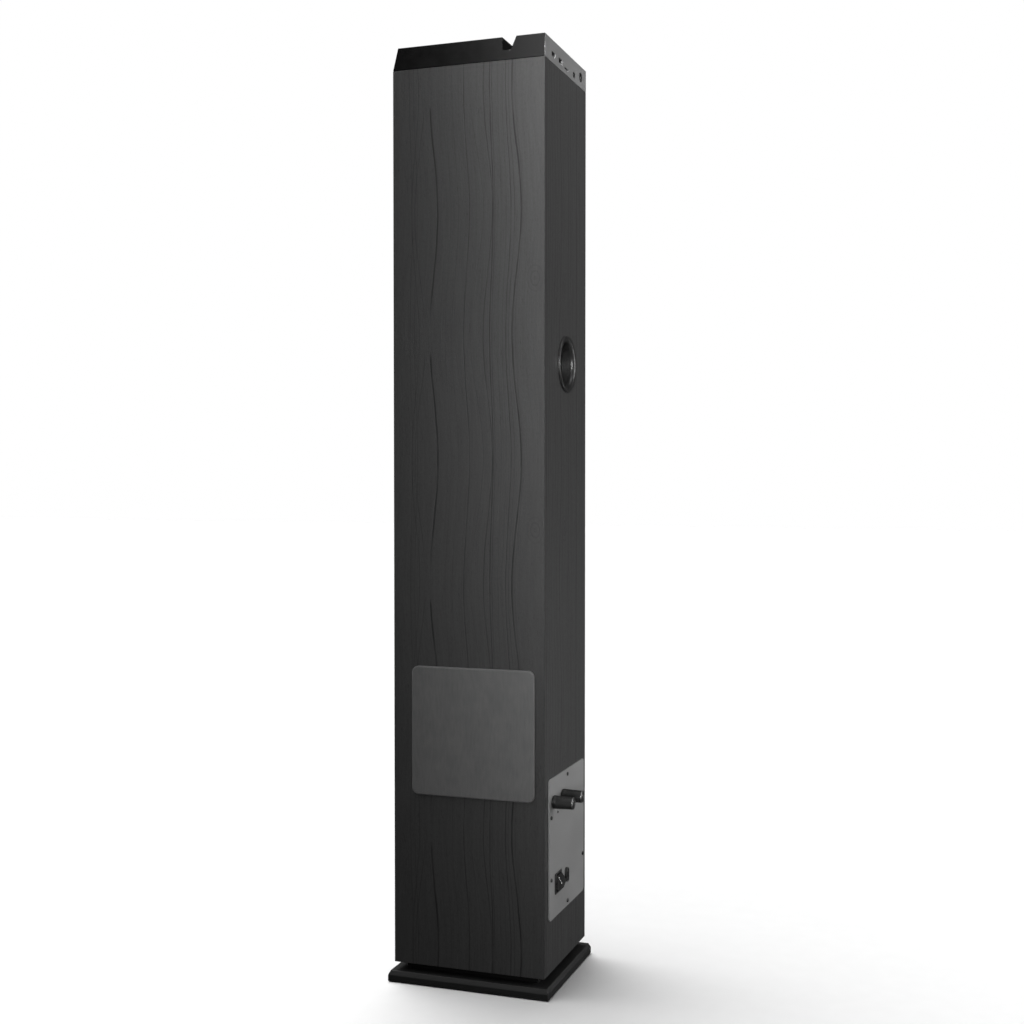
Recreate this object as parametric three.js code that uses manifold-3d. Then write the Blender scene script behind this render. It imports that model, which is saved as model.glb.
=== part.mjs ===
// A slim floorstanding speaker: a wood-vinyl column on a base plate, a plastic cap with a tablet slot and
// an input panel, three front drivers, a side woofer, a rear reflex port and a built-in amplifier.
// Millimetres. +Z is up, the front faces -Y, and the origin is the middle of the footprint on the floor.
import * as THREE from "three";
import { mergeVertices } from "three/addons/utils/BufferGeometryUtils.js";
import Module from "manifold-3d";

const wasm = await Module();
wasm.setup();

// Clearances
const SEAM = 0.3; // between fixed pieces that meet
const SLIP = 0.7; // round pieces that lift out or turn
const BEYOND = 1; // how far a cutter reaches past the face that it opens

// The stack, from the floor up
const FOOT_PROUD = 0.8;
const BASE_HEIGHT = 13;
const SPACER_HEIGHT = 9;
const CABINET_HEIGHT = 1000;
const CAP_HEIGHT = 25;

// Base plate, feet and spacer
const BASE_OVERHANG = 6;
const BASE_BEVEL_HEIGHT = 5;
const BASE_BEVEL_WIDTH = 2.5;
const FOOT_RADIUS = 9;
const FOOT_THICKNESS = 3;
const FOOT_INSET = 20;
const SPACER_INSET = 11;

// Cabinet boards
const CABINET_WIDTH = 156;
const CABINET_DEPTH = 178;
const BOARD = 12;
const BAFFLE_BOARD = 15;
const GRILLE_RECESS = 11;
const BRACE_WINDOW_MARGIN = 24;
const BRACE_WINDOW_RADIUS = 14;
const BRACE_BELOW_PORT = 70;
const BRACE_ABOVE_WOOFER = 30;

// Reflex port, on the back
const PORT_BELOW_TOP = 324.5;
const PORT_THROAT_RADIUS = 24.5;
const PORT_WALL = 3;
const PORT_FLANGE_RADIUS = 31.5;
const PORT_FLANGE_THICKNESS = 2.6;
const PORT_FLANGE_CHAMFER = 1;
const PORT_FLARE = 5;
const PORT_LENGTH = 108;

// Side woofer and its square grille
const WOOFER_ABOVE_AMP = 49;
const WOOFER_BEHIND_CENTRE = 6.3;
const SIDE_GRILLE_SIZE = 143;
const SIDE_GRILLE_RADIUS = 7;
const SIDE_GRILLE_BORDER = 9;
const SIDE_GRILLE_FRAME_THICKNESS = 3;
const SIDE_GRILLE_PEG_INSET = 9;

// Front grille
const FRONT_GRILLE_FRAME_THICKNESS = 8;
const FRONT_GRILLE_BORDER = 11;
const FRONT_GRILLE_RADIUS = 4;
const FRONT_GRILLE_BAR = 10;
const FRONT_GRILLE_BAR_THICKNESS = 3;
const FRONT_GRILLE_BARS = 3;

// Both grilles
const CLOTH_THICKNESS = 0.8;
const PEG_RADIUS = 2.6;
const PEG_LENGTH = 7;

// Front drivers, measured down from the cabinet's top
const UPPER_MID_BELOW_TOP = 77;
const TWEETER_BELOW_TOP = 162;
const LOWER_MID_BELOW_TOP = 247;

// Cone drivers, each in its own frame: front face of the flange at 0, facing +Y
const WOOFER = {
  flangeRadius: 66,
  flangeThickness: 3.5,
  bodyRadius: 58.5,
  wall: 2,
  shoulder: 8,
  lipRadius: 56.5,
  lipWidth: 4,
  rollWidth: 10,
  rollHeight: 4,
  coneDepth: 24,
  coilRadius: 16,
  capRadius: 22,
  capHeight: 7,
  basketDepth: 38,
  magnetRadius: 42,
  magnetHeight: 22,
  travel: 4,
  segments: 28,
};
const MID = {
  flangeRadius: 51,
  flangeThickness: 3,
  bodyRadius: 43.5,
  wall: 1.6,
  shoulder: 6,
  lipRadius: 42,
  lipWidth: 2.5,
  rollWidth: 7,
  rollHeight: 2.8,
  coneDepth: 15,
  coilRadius: 10,
  capRadius: 14,
  capHeight: 5,
  basketDepth: 24,
  magnetRadius: 30,
  magnetHeight: 14,
  travel: 2,
  segments: 20,
};
const CONE_THICKNESS = 0.9;
const SURROUND_THICKNESS = 0.7;
const COIL_WALL = 0.7;
const COIL_IN_GAP = 3;
const GAP_CLEARANCE = 0.8;
const GAP_FLOOR_CLEARANCE = 1;
const COIL_HOLE_CLEARANCE = 2.4;
const NECK_SHARE_OF_MAGNET = 0.8;
const BASKET_WINDOW_SHARE_OF_NECK = 0.6;

// Tweeter
const TWEETER_FLANGE_RADIUS = 27;
const TWEETER_FLANGE_THICKNESS = 3;
const TWEETER_BODY_RADIUS = 20.5;
const TWEETER_BODY_DEPTH = 8;
const TWEETER_HORN_RADIUS = 22;
const TWEETER_DOME_RADIUS = 12.5;
const TWEETER_DOME_HEIGHT = 4.5;
const TWEETER_DOME_WALL = 0.6;
const TWEETER_DOME_DEPTH = 5;
const TWEETER_RIM = 1;
const TWEETER_COIL_LENGTH = 6;
const TWEETER_MAGNET_RADIUS = 19.5;
const TWEETER_MAGNET_HEIGHT = 16;
const TWEETER_GAP_DEPTH = 6;

// Amplifier plate, on the back
const AMP_BOTTOM = 81.5;
const AMP_HEIGHT = 157;
const AMP_SIDE_MARGIN = 12;
const AMP_PLATE_THICKNESS = 1.6;
const AMP_PLATE_RADIUS = 5;
const AMP_RIM = 13;
const SCREW_EDGE_INSET = 6;
const SCREW_HEAD_RADIUS = 2.2;
const SCREW_HEAD_HEIGHT = 1.2;
const SCREW_CROWN_RADIUS = 1.3;
const SCREW_RADIUS = 1.5;
const SCREW_LENGTH = 9;
const SCREW_UPPER_BELOW_TOP = 43;
const SCREW_LOWER_ABOVE_BOTTOM = 45;
const BACK_BOX_DEPTH = 51;
const BACK_BOX_BELOW_PLATE_TOP = 40;
const BACK_BOX_SHEET = 1.2;

// Knobs and their potentiometers
const KNOB_RADIUS = 7.4;
const KNOB_LENGTH = 23.4;
const KNOB_TIP_RADIUS = 7;
const KNOB_CHAMFER = 0.8;
const KNOB_FROM_PLATE_EDGE = 13;
const KNOB_PITCH = 34.5;
const KNOB_BELOW_PLATE_TOP = 26.5;
const SHAFT_RADIUS = 3;
const SHAFT_LENGTH = 9;
const POT_RADIUS = 8;
const POT_DEPTH = 12;

// Power switch and mains inlet, on one row
const CONTROL_ROW_ABOVE_PLATE_BOTTOM = 37;
const SWITCH_FROM_PLATE_EDGE = 30.5;
const ROCKER_HALF_WIDTH = 8;
const ROCKER_HALF_HEIGHT = 8.6;
const ROCKER_END_PROUD = 3.6;
const ROCKER_RIDGE_PROUD = 8.2;
const ROCKER_ROOT = 5;
const ROCKER_ROOT_HALF_HEIGHT = 5;
const ROCKER_TILT_DEG = 8;
const ROCKER_PIN_RADIUS = 1.5;
const ROCKER_PIN_LENGTH = 1;
const ROCKER_END_CLEARANCE = 1.2;
const SWITCH_WALL = 1.6;
const SWITCH_BEZEL = 1;
const SWITCH_END_WALL = 0.8;
const SWITCH_BEZEL_PROUD = 1.4;
const SWITCH_DEPTH = 16;
const SWITCH_FLOOR = 3;
const INLET_FROM_PLATE_EDGE = 61.5;
const INLET_WIDTH = 9;
const INLET_HEIGHT = 16;
const INLET_RADIUS = 4;
const INLET_WALL = 1;
const INLET_PROUD = 2.6;
const INLET_DEPTH = 16;
const INLET_CAVITY_DEPTH = 12;
const INLET_FLANGE = 3;
const INLET_FLANGE_THICKNESS = 2;
const INLET_PIN_RADIUS = 1.2;
const INLET_PIN_PITCH = 8.6;
const INLET_PIN_LENGTH = 9;
const LED_HOLE_RADIUS = 1.6;
const LED_BELOW_KNOBS = 15;

// Inside the amplifier box
const CIRCUIT_BOARD_THICKNESS = 1.6;
const CIRCUIT_BOARD_SETBACK = 30;
const CIRCUIT_BOARD_EDGE = 6;
const CAPACITOR_RADIUS = 6;
const CAPACITOR_HEIGHT = 16;
const CAPACITOR_PITCH = 16;
const CAPACITOR_COUNT = 3;
const HEATSINK = [30, 10, 34];
const TRANSFORMER_CORE = [46, 16, 36];
const TRANSFORMER_COIL = [30, 26, 24];
const TRANSFORMER_ABOVE_ROW = 42;

// Cap with the tablet slot; heights are measured from the cap's underside
const CAP_WALL = 2.5;
const CAP_FRONT_SLANT = 6.2;
const SLOT_FRONT_FROM_BACK = 48.5;
const SLOT_FLOOR_HEIGHT = 10.5;
const SLOT_FLOOR_DEPTH = 9.6;
const SLOT_CORNER = 1.8;
const SLOT_LEAN = 6.5;
const TOUCH_WIDTH = 118;
const TOUCH_DEPTH = 84;
const TOUCH_THICKNESS = 1.2;
const TOUCH_RADIUS = 6;

// Input panel at the cap's rear; the columns are shares of the cabinet's half width, from the middle
const PANEL_THICKNESS = 2.2;
const PANEL_CHEEK = 1;
const USB_COLUMNS = [0.599, 0.269];
const USB_HEIGHT_ON_PANEL = 9.7;
const USB_OPENING = [14.2, 5.4];
const USB_BODY = [15.4, 14, 7.2];
const USB_CAVITY = [12.6, 11, 5];
const CARD_COLUMN = -0.013;
const CARD_HEIGHT_ON_PANEL = 6.8;
const CARD_OPENING = [15.4, 2.1];
const CARD_BODY = [16.6, 15, 4];
const CARD_CAVITY = [12.4, 13, 1.3];
const AUX_COLUMN = -0.369;
const AUX_HEIGHT_ON_PANEL = 8;
const AUX = { collarRadius: 3, boreRadius: 1.85, bodyRadius: 4.4, bodyLength: 13, boreLength: 12 };
const MIC_COLUMN = -0.709;
const MIC_HEIGHT_ON_PANEL = 12.3;
const MIC = { collarRadius: 5, boreRadius: 3.25, bodyRadius: 7.2, bodyLength: 21, boreLength: 19 };
const COLLAR_PROUD = 0.6;

const ROUND_SEGMENTS = 20;
const SMALL_SEGMENTS = 10;
const ARC_STEPS = 3;
const CORNER_SEGMENTS = 2;

// Places that follow from the sizes above
const halfWidth = CABINET_WIDTH / 2;
const halfDepth = CABINET_DEPTH / 2;
const cabinetBottom = BASE_HEIGHT + SPACER_HEIGHT;
const cabinetTop = cabinetBottom + CABINET_HEIGHT;
const innerHalfWidth = halfWidth - BOARD;
const backInner = halfDepth - BOARD;
const baffleFront = -halfDepth + GRILLE_RECESS;
const boardHalfWidth = innerHalfWidth - SEAM;
const portZ = cabinetTop - PORT_BELOW_TOP;
const ampTop = AMP_BOTTOM + AMP_HEIGHT;
const ampHalfWidth = halfWidth - AMP_SIDE_MARGIN;
const plateBack = halfDepth + SEAM;
const plateFront = plateBack + AMP_PLATE_THICKNESS;
const wooferZ = ampTop + WOOFER_ABOVE_AMP;
const controlRowZ = AMP_BOTTOM + CONTROL_ROW_ABOVE_PLATE_BOTTOM;
const switchX = ampHalfWidth - SWITCH_FROM_PLATE_EDGE;
const inletX = ampHalfWidth - INLET_FROM_PLATE_EDGE;

// Finishes
function finish(color, roughness, metalness = 0) {
  return () => new THREE.MeshStandardMaterial({ color, roughness, metalness });
}
const woodVinyl = finish(0x2c2c2c, 0.62);
const rawBoard = finish(0x6b5a45, 0.9);
const blackPlastic = finish(0x151515, 0.45);
const spacerBlack = finish(0x0a0a0a, 0.8);
const rubber = finish(0x101010, 0.95);
const grilleCloth = finish(0x2a2a2a, 0.95);
const conePaper = finish(0x1a1a1a, 0.8);
const surroundRubber = finish(0x0c0c0c, 0.7);
const castFrame = finish(0x222222, 0.5, 0.4);
const magnetSteel = finish(0x3a3a3c, 0.4, 0.8);
const domeSilk = finish(0x17171a, 0.6);
const platePaint = finish(0x6c6c6c, 0.5, 0.3);
const zincScrew = finish(0x2b2b2b, 0.4, 0.8);
const sheetSteel = finish(0x8a8c8e, 0.4, 0.8);
const circuitGreen = finish(0x1e4a30, 0.6);
const glossBlack = finish(0x080808, 0.12);
const socketMetal = finish(0x9a9b9d, 0.35, 0.9);

// Solids: three.js makes each shape, and manifold-3d only joins and cuts them
function solid(geometry) {
  const bare = geometry.clone();
  bare.deleteAttribute("normal");
  bare.deleteAttribute("uv");
  const merged = mergeVertices(bare, 1e-4);
  return new wasm.Manifold(
    new wasm.Mesh({
      numProp: 3,
      vertProperties: merged.attributes.position.array,
      triVerts: new Uint32Array(merged.index.array),
    }),
  );
}

function joined(...geometries) {
  return geometryOf(geometries.map(solid).reduce((whole, piece) => whole.add(piece)));
}

function cut(geometry, ...cutters) {
  return geometryOf(cutters.map(solid).reduce((rest, cutter) => rest.subtract(cutter), solid(geometry)));
}

function common(first, second) {
  return geometryOf(solid(first).intersect(solid(second)));
}

function geometryOf(manifold) {
  const mesh = manifold.getMesh();
  const geometry = new THREE.BufferGeometry();
  geometry.setAttribute("position", new THREE.BufferAttribute(new Float32Array(mesh.vertProperties), 3));
  geometry.setIndex(new THREE.BufferAttribute(new Uint32Array(mesh.triVerts), 1));
  geometry.computeVertexNormals();
  return geometry;
}

// A block between two corners
function block([x0, y0, z0], [x1, y1, z1]) {
  const geometry = new THREE.BoxGeometry(x1 - x0, y1 - y0, z1 - z0);
  return geometry.translate((x0 + x1) / 2, (y0 + y1) / 2, (z0 + z1) / 2);
}

// A cylinder along Y, from y0 to y1
function rodY(radius, y0, y1, segments = SMALL_SEGMENTS) {
  return new THREE.CylinderGeometry(radius, radius, y1 - y0, segments).translate(0, (y0 + y1) / 2, 0);
}

// A turned piece about Y, from a profile of [radius, y] points that ends on the axis
function turned(profile, segments = ROUND_SEGMENTS) {
  return new THREE.LatheGeometry(
    profile.map(([r, y]) => new THREE.Vector2(r, y)),
    segments,
  );
}

// A turned ring about Y, from a profile that closes on itself
function ring(profile, segments = ROUND_SEGMENTS) {
  return turned([...profile, profile[0]], segments);
}

// Points on an ellipse's arc, as [radius, y], from one angle to another
function arc(centreR, centreY, radiusR, radiusY, from, to) {
  const points = [];
  for (let i = 0; i <= ARC_STEPS; i++) {
    const angle = from + ((to - from) * i) / ARC_STEPS;
    points.push([centreR + radiusR * Math.cos(angle), centreY + radiusY * Math.sin(angle)]);
  }
  return points;
}

function outline(points) {
  return new THREE.Shape(points.map(([a, b]) => new THREE.Vector2(a, b)));
}

function roundedRectangle(halfA, halfB, radius) {
  const shape = new THREE.Shape();
  shape.moveTo(-halfA + radius, -halfB);
  shape.lineTo(halfA - radius, -halfB);
  shape.absarc(halfA - radius, -halfB + radius, radius, -Math.PI / 2, 0);
  shape.lineTo(halfA, halfB - radius);
  shape.absarc(halfA - radius, halfB - radius, radius, 0, Math.PI / 2);
  shape.lineTo(-halfA + radius, halfB);
  shape.absarc(-halfA + radius, halfB - radius, radius, Math.PI / 2, Math.PI);
  shape.lineTo(-halfA, -halfB + radius);
  shape.absarc(-halfA + radius, -halfB + radius, radius, Math.PI, 1.5 * Math.PI);
  return shape;
}

function extruded(shape, length) {
  return new THREE.ExtrudeGeometry(shape, {
    depth: length,
    bevelEnabled: false,
    curveSegments: CORNER_SEGMENTS,
  });
}

const X = new THREE.Vector3(1, 0, 0);
const Y = new THREE.Vector3(0, 1, 0);
const Z = new THREE.Vector3(0, 0, 1);

// A prism along X whose section is drawn in (y, z)
function prismX(shape, x0, x1) {
  const geometry = extruded(shape, x1 - x0).applyMatrix4(new THREE.Matrix4().makeBasis(Y, Z, X));
  return geometry.translate(x0, 0, 0);
}

// A prism along Y whose section is drawn in (x, z)
function prismY(shape, y0, y1) {
  const turn = new THREE.Matrix4().makeBasis(X, Z, Y.clone().negate());
  return extruded(shape, y1 - y0).applyMatrix4(turn).translate(0, y1, 0);
}

// A prism along Z whose section is drawn in (x, y)
function prismZ(shape, z0, z1) {
  return extruded(shape, z1 - z0).translate(0, 0, z0);
}

function piece(name, geometry, material, place = [0, 0, 0]) {
  const mesh = new THREE.Mesh(geometry, material());
  mesh.name = name;
  mesh.position.set(...place);
  return mesh;
}

function groupAt(place, ...children) {
  const group = new THREE.Group();
  group.position.set(...place);
  group.add(...children);
  return group;
}

// Base: a bevelled plate on four feet, and the dark spacer that lifts the cabinet off it
function base() {
  const halfX = halfWidth + BASE_OVERHANG;
  const halfY = halfDepth + BASE_OVERHANG;
  const section = (half) =>
    outline([
      [-half, FOOT_PROUD],
      [half, FOOT_PROUD],
      [half, BASE_HEIGHT - BASE_BEVEL_HEIGHT],
      [half - BASE_BEVEL_WIDTH, BASE_HEIGHT],
      [-half + BASE_BEVEL_WIDTH, BASE_HEIGHT],
      [-half, BASE_HEIGHT - BASE_BEVEL_HEIGHT],
    ]);
  const plate = common(prismX(section(halfY), -halfX, halfX), prismY(section(halfX), -halfY, halfY));
  const footX = halfX - FOOT_INSET;
  const footY = halfY - FOOT_INSET;
  const disc = (radius, z0, z1) =>
    new THREE.CylinderGeometry(radius, radius, z1 - z0, ROUND_SEGMENTS)
      .rotateX(Math.PI / 2)
      .translate(0, 0, (z0 + z1) / 2);
  const corners = [
    ["front_left", -footX, -footY],
    ["front_right", footX, -footY],
    ["rear_left", -footX, footY],
    ["rear_right", footX, footY],
  ];
  const pockets = corners.map(([, x, y]) =>
    disc(FOOT_RADIUS + SEAM, -FOOT_THICKNESS, FOOT_THICKNESS + SEAM).translate(x, y, 0),
  );
  const feet = corners.map(([corner, x, y]) =>
    piece("foot_" + corner, disc(FOOT_RADIUS, 0, FOOT_THICKNESS), rubber, [x, y, 0]),
  );
  const spacerX = halfWidth - SPACER_INSET;
  const spacerY = halfDepth - SPACER_INSET;
  const spacer = block(
    [-spacerX, -spacerY, BASE_HEIGHT + SEAM],
    [spacerX, spacerY, cabinetBottom - SEAM],
  );
  return groupAt(
    [0, 0, 0],
    piece("base_plate", cut(plate, ...pockets), woodVinyl),
    piece("plinth_spacer", spacer, spacerBlack),
    ...feet,
  );
}

// Peg places on a grille frame, as [across, up] from its centre
function cornerPegs(halfA, halfB, inset) {
  const a = halfA - inset;
  const b = halfB - inset;
  return [
    [-a, -b],
    [a, -b],
    [a, b],
    [-a, b],
  ];
}

const sideGrilleHalf = SIDE_GRILLE_SIZE / 2;
const sideGrillePegs = cornerPegs(sideGrilleHalf, sideGrilleHalf, SIDE_GRILLE_PEG_INSET);
const frontGrilleBottom = cabinetBottom + BOARD + SLIP;
const frontGrilleHalfHeight = (cabinetTop - BOARD - SLIP - frontGrilleBottom) / 2;
const frontGrilleHalfWidth = innerHalfWidth - SLIP;
const frontGrilleZ = frontGrilleBottom + frontGrilleHalfHeight;
const frontGrillePegs = cornerPegs(frontGrilleHalfWidth, frontGrilleHalfHeight, FRONT_GRILLE_BORDER / 2);

// The places of the six screws that hold the amplifier plate, as [x, z]
const screwX = ampHalfWidth - SCREW_EDGE_INSET;
const screws = [
  [0, ampTop - SCREW_EDGE_INSET],
  [screwX, ampTop - SCREW_UPPER_BELOW_TOP],
  [screwX, AMP_BOTTOM + SCREW_LOWER_ABOVE_BOTTOM],
  [0, AMP_BOTTOM + SCREW_EDGE_INSET],
  [-screwX, AMP_BOTTOM + SCREW_LOWER_ABOVE_BOTTOM],
  [-screwX, ampTop - SCREW_UPPER_BELOW_TOP],
];

const knobZ = ampTop - KNOB_BELOW_PLATE_TOP;
const knobX = ampHalfWidth - KNOB_FROM_PLATE_EDGE;
const knobs = [
  ["bass", knobX],
  ["treble", knobX - KNOB_PITCH],
];

// Cabinet: wrapped side and back panels mitred at the rear corners, boards, baffle, braces and port
function cabinet() {
  const side = outline([
    [innerHalfWidth, -halfDepth],
    [halfWidth, -halfDepth],
    [halfWidth, halfDepth],
    [innerHalfWidth, backInner],
  ]);
  const sidePanel = prismZ(side, cabinetBottom, cabinetTop);
  const leftPanel = sidePanel.clone().applyMatrix4(new THREE.Matrix4().makeScale(-1, 1, 1));
  leftPanel.setAttribute("position", reversedTriangles(leftPanel.getAttribute("position")));
  const wooferHole = rodY(WOOFER.bodyRadius + SLIP, -2 * BOARD, BOARD, WOOFER.segments)
    .rotateZ(-Math.PI / 2)
    .translate(halfWidth, WOOFER_BEHIND_CENTRE, wooferZ);
  const sidePegHoles = sideGrillePegs.map(([a, b]) =>
    rodY(PEG_RADIUS + SLIP / 2, -PEG_LENGTH - SLIP, PEG_LENGTH)
      .rotateZ(-Math.PI / 2)
      .translate(halfWidth, WOOFER_BEHIND_CENTRE + a, wooferZ + b),
  );

  const back = outline([
    [-halfWidth + SEAM, halfDepth],
    [-innerHalfWidth + SEAM, backInner],
    [innerHalfWidth - SEAM, backInner],
    [halfWidth - SEAM, halfDepth],
  ]);
  const portHoleRadius = PORT_THROAT_RADIUS + PORT_WALL + SEAM;
  const portHole = rodY(portHoleRadius, backInner - BOARD, halfDepth + BOARD, ROUND_SEGMENTS);
  const ampCutout = block(
    [-ampHalfWidth + AMP_RIM, backInner - BOARD, AMP_BOTTOM + AMP_RIM],
    [ampHalfWidth - AMP_RIM, halfDepth + BOARD, ampTop - AMP_RIM],
  );
  const potHoles = knobs.map(([, x]) =>
    rodY(POT_RADIUS + SLIP, backInner - BOARD, halfDepth + BOARD).translate(x, 0, knobZ),
  );
  const pilotHoles = screws.map(([x, z]) =>
    rodY(SCREW_RADIUS + SEAM, plateFront - SCREW_LENGTH - SEAM, halfDepth + BOARD).translate(x, 0, z),
  );

  const boardBack = backInner - SEAM;
  const board = (z0) => block([-boardHalfWidth, -halfDepth, z0], [boardHalfWidth, boardBack, z0 + BOARD]);

  const baffle = block(
    [-boardHalfWidth, baffleFront, cabinetBottom + BOARD + SEAM],
    [boardHalfWidth, baffleFront + BAFFLE_BOARD, cabinetTop - BOARD - SEAM],
  );
  const before = baffleFront - BAFFLE_BOARD;
  const behind = baffleFront + 2 * BAFFLE_BOARD;
  const stepped = (z, holeRadius, flangeRadius, flangeThickness, segments) => {
    const stepEnd = baffleFront + flangeThickness + SEAM;
    return [
      rodY(holeRadius + SLIP, before, behind, segments).translate(0, 0, z),
      rodY(flangeRadius + SEAM, before, stepEnd, segments).translate(0, 0, z),
    ];
  };
  const midHole = (below) =>
    stepped(cabinetTop - below, MID.bodyRadius, MID.flangeRadius, MID.flangeThickness, MID.segments);
  const frontPegHoles = frontGrillePegs.map(([a, b]) =>
    rodY(PEG_RADIUS + SLIP / 2, baffleFront - PEG_LENGTH, baffleFront + PEG_LENGTH + SLIP).translate(
      a,
      0,
      frontGrilleZ + b,
    ),
  );

  const braceFront = baffleFront + BAFFLE_BOARD + SEAM;
  const window = roundedRectangle(
    boardHalfWidth - BRACE_WINDOW_MARGIN,
    (boardBack - braceFront) / 2 - BRACE_WINDOW_MARGIN,
    BRACE_WINDOW_RADIUS,
  );
  const brace = (z0) =>
    cut(
      block([-boardHalfWidth, braceFront, z0], [boardHalfWidth, boardBack, z0 + BOARD]),
      prismZ(window, z0 - BOARD, z0 + 2 * BOARD).translate(0, (boardBack + braceFront) / 2, 0),
    );

  return groupAt(
    [0, 0, 0],
    piece("side_panel_left", leftPanel, woodVinyl),
    piece("side_panel_right", cut(sidePanel, wooferHole, ...sidePegHoles), woodVinyl),
    piece(
      "back_panel",
      cut(
        prismZ(back, cabinetBottom, cabinetTop),
        portHole.translate(0, 0, portZ),
        ampCutout,
        ...potHoles,
        ...pilotHoles,
      ),
      woodVinyl,
    ),
    piece("bottom_board", board(cabinetBottom), woodVinyl),
    piece("top_board", board(cabinetTop - BOARD), woodVinyl),
    piece(
      "front_baffle",
      cut(
        baffle,
        ...midHole(UPPER_MID_BELOW_TOP),
        ...midHole(LOWER_MID_BELOW_TOP),
        ...stepped(
          cabinetTop - TWEETER_BELOW_TOP,
          TWEETER_BODY_RADIUS,
          TWEETER_FLANGE_RADIUS,
          TWEETER_FLANGE_THICKNESS,
          ROUND_SEGMENTS,
        ),
        ...frontPegHoles,
      ),
      blackPlastic,
    ),
    piece("brace_lower", brace(wooferZ + WOOFER.flangeRadius + BRACE_ABOVE_WOOFER), rawBoard),
    piece("brace_upper", brace(portZ - BRACE_BELOW_PORT), rawBoard),
    groupAt([0, halfDepth + SEAM, portZ], piece("port_tube", portTube(), blackPlastic)),
  );
}

// The triangles of a mirrored shape, each turned round so that it faces out again
function reversedTriangles(position) {
  const array = position.array.slice();
  for (let i = 0; i < array.length; i += 9) {
    for (let k = 0; k < 3; k++) {
      [array[i + 3 + k], array[i + 6 + k]] = [array[i + 6 + k], array[i + 3 + k]];
    }
  }
  return new THREE.BufferAttribute(array, 3);
}

// The port: a flanged, flared mouth on a straight tube; 0 is the flange's seat on the back panel
function portTube() {
  const outer = PORT_THROAT_RADIUS + PORT_WALL;
  const quarter = Math.PI / 2;
  const flareRadius = PORT_THROAT_RADIUS + PORT_FLARE;
  const flareStart = PORT_FLANGE_THICKNESS - PORT_FLARE;
  const mouth = arc(flareRadius, flareStart, PORT_FLARE, PORT_FLARE, quarter, 2 * quarter);
  return ring([
    [outer, -PORT_LENGTH],
    [outer, 0],
    [PORT_FLANGE_RADIUS, 0],
    [PORT_FLANGE_RADIUS, PORT_FLANGE_THICKNESS - PORT_FLANGE_CHAMFER],
    [PORT_FLANGE_RADIUS - PORT_FLANGE_CHAMFER, PORT_FLANGE_THICKNESS],
    ...mouth,
    [PORT_THROAT_RADIUS, -PORT_LENGTH],
  ]);
}

// The fixed and moving pieces of a cone driver, in its own frame
function driverShapes(size) {
  const lipInner = size.lipRadius - size.lipWidth;
  const coneRadius = lipInner - size.rollWidth - SEAM;
  const ledge = SURROUND_THICKNESS + 2 * SEAM;
  const openRadius = size.lipRadius + SEAM;
  const neckRadius = size.magnetRadius * NECK_SHARE_OF_MAGNET;
  const holeRadius = size.coilRadius + COIL_WALL + COIL_HOLE_CLEARANCE;
  const bodyInner = size.bodyRadius - size.wall;
  const shell = ring(
    [
      [openRadius, 0],
      [openRadius, -ledge],
      [lipInner, -ledge],
      [lipInner, -ledge - size.wall],
      [bodyInner, -ledge - size.wall],
      [bodyInner, -size.shoulder],
      [neckRadius - size.wall, -size.basketDepth + size.wall],
      [holeRadius, -size.basketDepth + size.wall],
      [holeRadius, -size.basketDepth],
      [neckRadius, -size.basketDepth],
      [size.bodyRadius, -size.shoulder],
      [size.bodyRadius, -size.flangeThickness],
      [size.flangeRadius, -size.flangeThickness],
      [size.flangeRadius, 0],
    ],
    size.segments,
  );
  const windowHalf = neckRadius * BASKET_WINDOW_SHARE_OF_NECK;
  const windowTop = -size.shoulder - size.wall;
  const windowBottom = -size.basketDepth + 2 * size.wall;
  const reach = size.flangeRadius;
  const windows = [
    block([-windowHalf, windowBottom, -reach], [windowHalf, windowTop, reach]),
    block([-reach, windowBottom, -windowHalf], [reach, windowTop, windowHalf]),
  ];

  const seat = -ledge + SEAM;
  const top = seat + SURROUND_THICKNESS;
  const rollCentre = lipInner - size.rollWidth / 2;
  const roll = size.rollWidth / 2;
  const surround = ring(
    [
      [size.lipRadius, seat],
      [size.lipRadius, top],
      ...arc(rollCentre, top, roll, size.rollHeight, 0, Math.PI),
      ...arc(rollCentre, seat, roll - SURROUND_THICKNESS, size.rollHeight, Math.PI, 0),
    ],
    size.segments,
  );

  const magnetFace = -size.basketDepth - SEAM;
  const coilOuter = size.coilRadius + COIL_WALL;
  const coilEnd = magnetFace - COIL_IN_GAP;
  const coneFront = [
    [coneRadius, top],
    [size.coilRadius, -size.coneDepth],
  ];
  const coneSlope = (top + size.coneDepth) / (coneRadius - size.coilRadius);
  const coneRear = [
    [coilOuter, coilEnd],
    [coilOuter, -size.coneDepth - CONE_THICKNESS],
    [coneRadius, top - CONE_THICKNESS],
  ];
  const capSeat = -size.coneDepth + (size.capRadius - size.coilRadius) * coneSlope;

  const gapInner = size.coilRadius - GAP_CLEARANCE;
  const gapOuter = coilOuter + GAP_CLEARANCE;
  const gapFloor = coilEnd - size.travel - GAP_FLOOR_CLEARANCE;
  const magnet = turned(
    [
      [0, magnetFace - size.magnetHeight],
      [size.magnetRadius, magnetFace - size.magnetHeight],
      [size.magnetRadius, magnetFace],
      [gapOuter, magnetFace],
      [gapOuter, gapFloor],
      [gapInner, gapFloor],
      [gapInner, magnetFace],
      [0, magnetFace],
    ],
    size.segments,
  );
  return { basket: cut(shell, ...windows), surround, magnet, coneFront, coneRear, coilEnd, capSeat };
}

// A cone with its voice-coil former, open at the middle
function openCone(size, shapes) {
  return ring([[size.coilRadius, shapes.coilEnd], ...shapes.coneRear, ...shapes.coneFront], size.segments);
}

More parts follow.
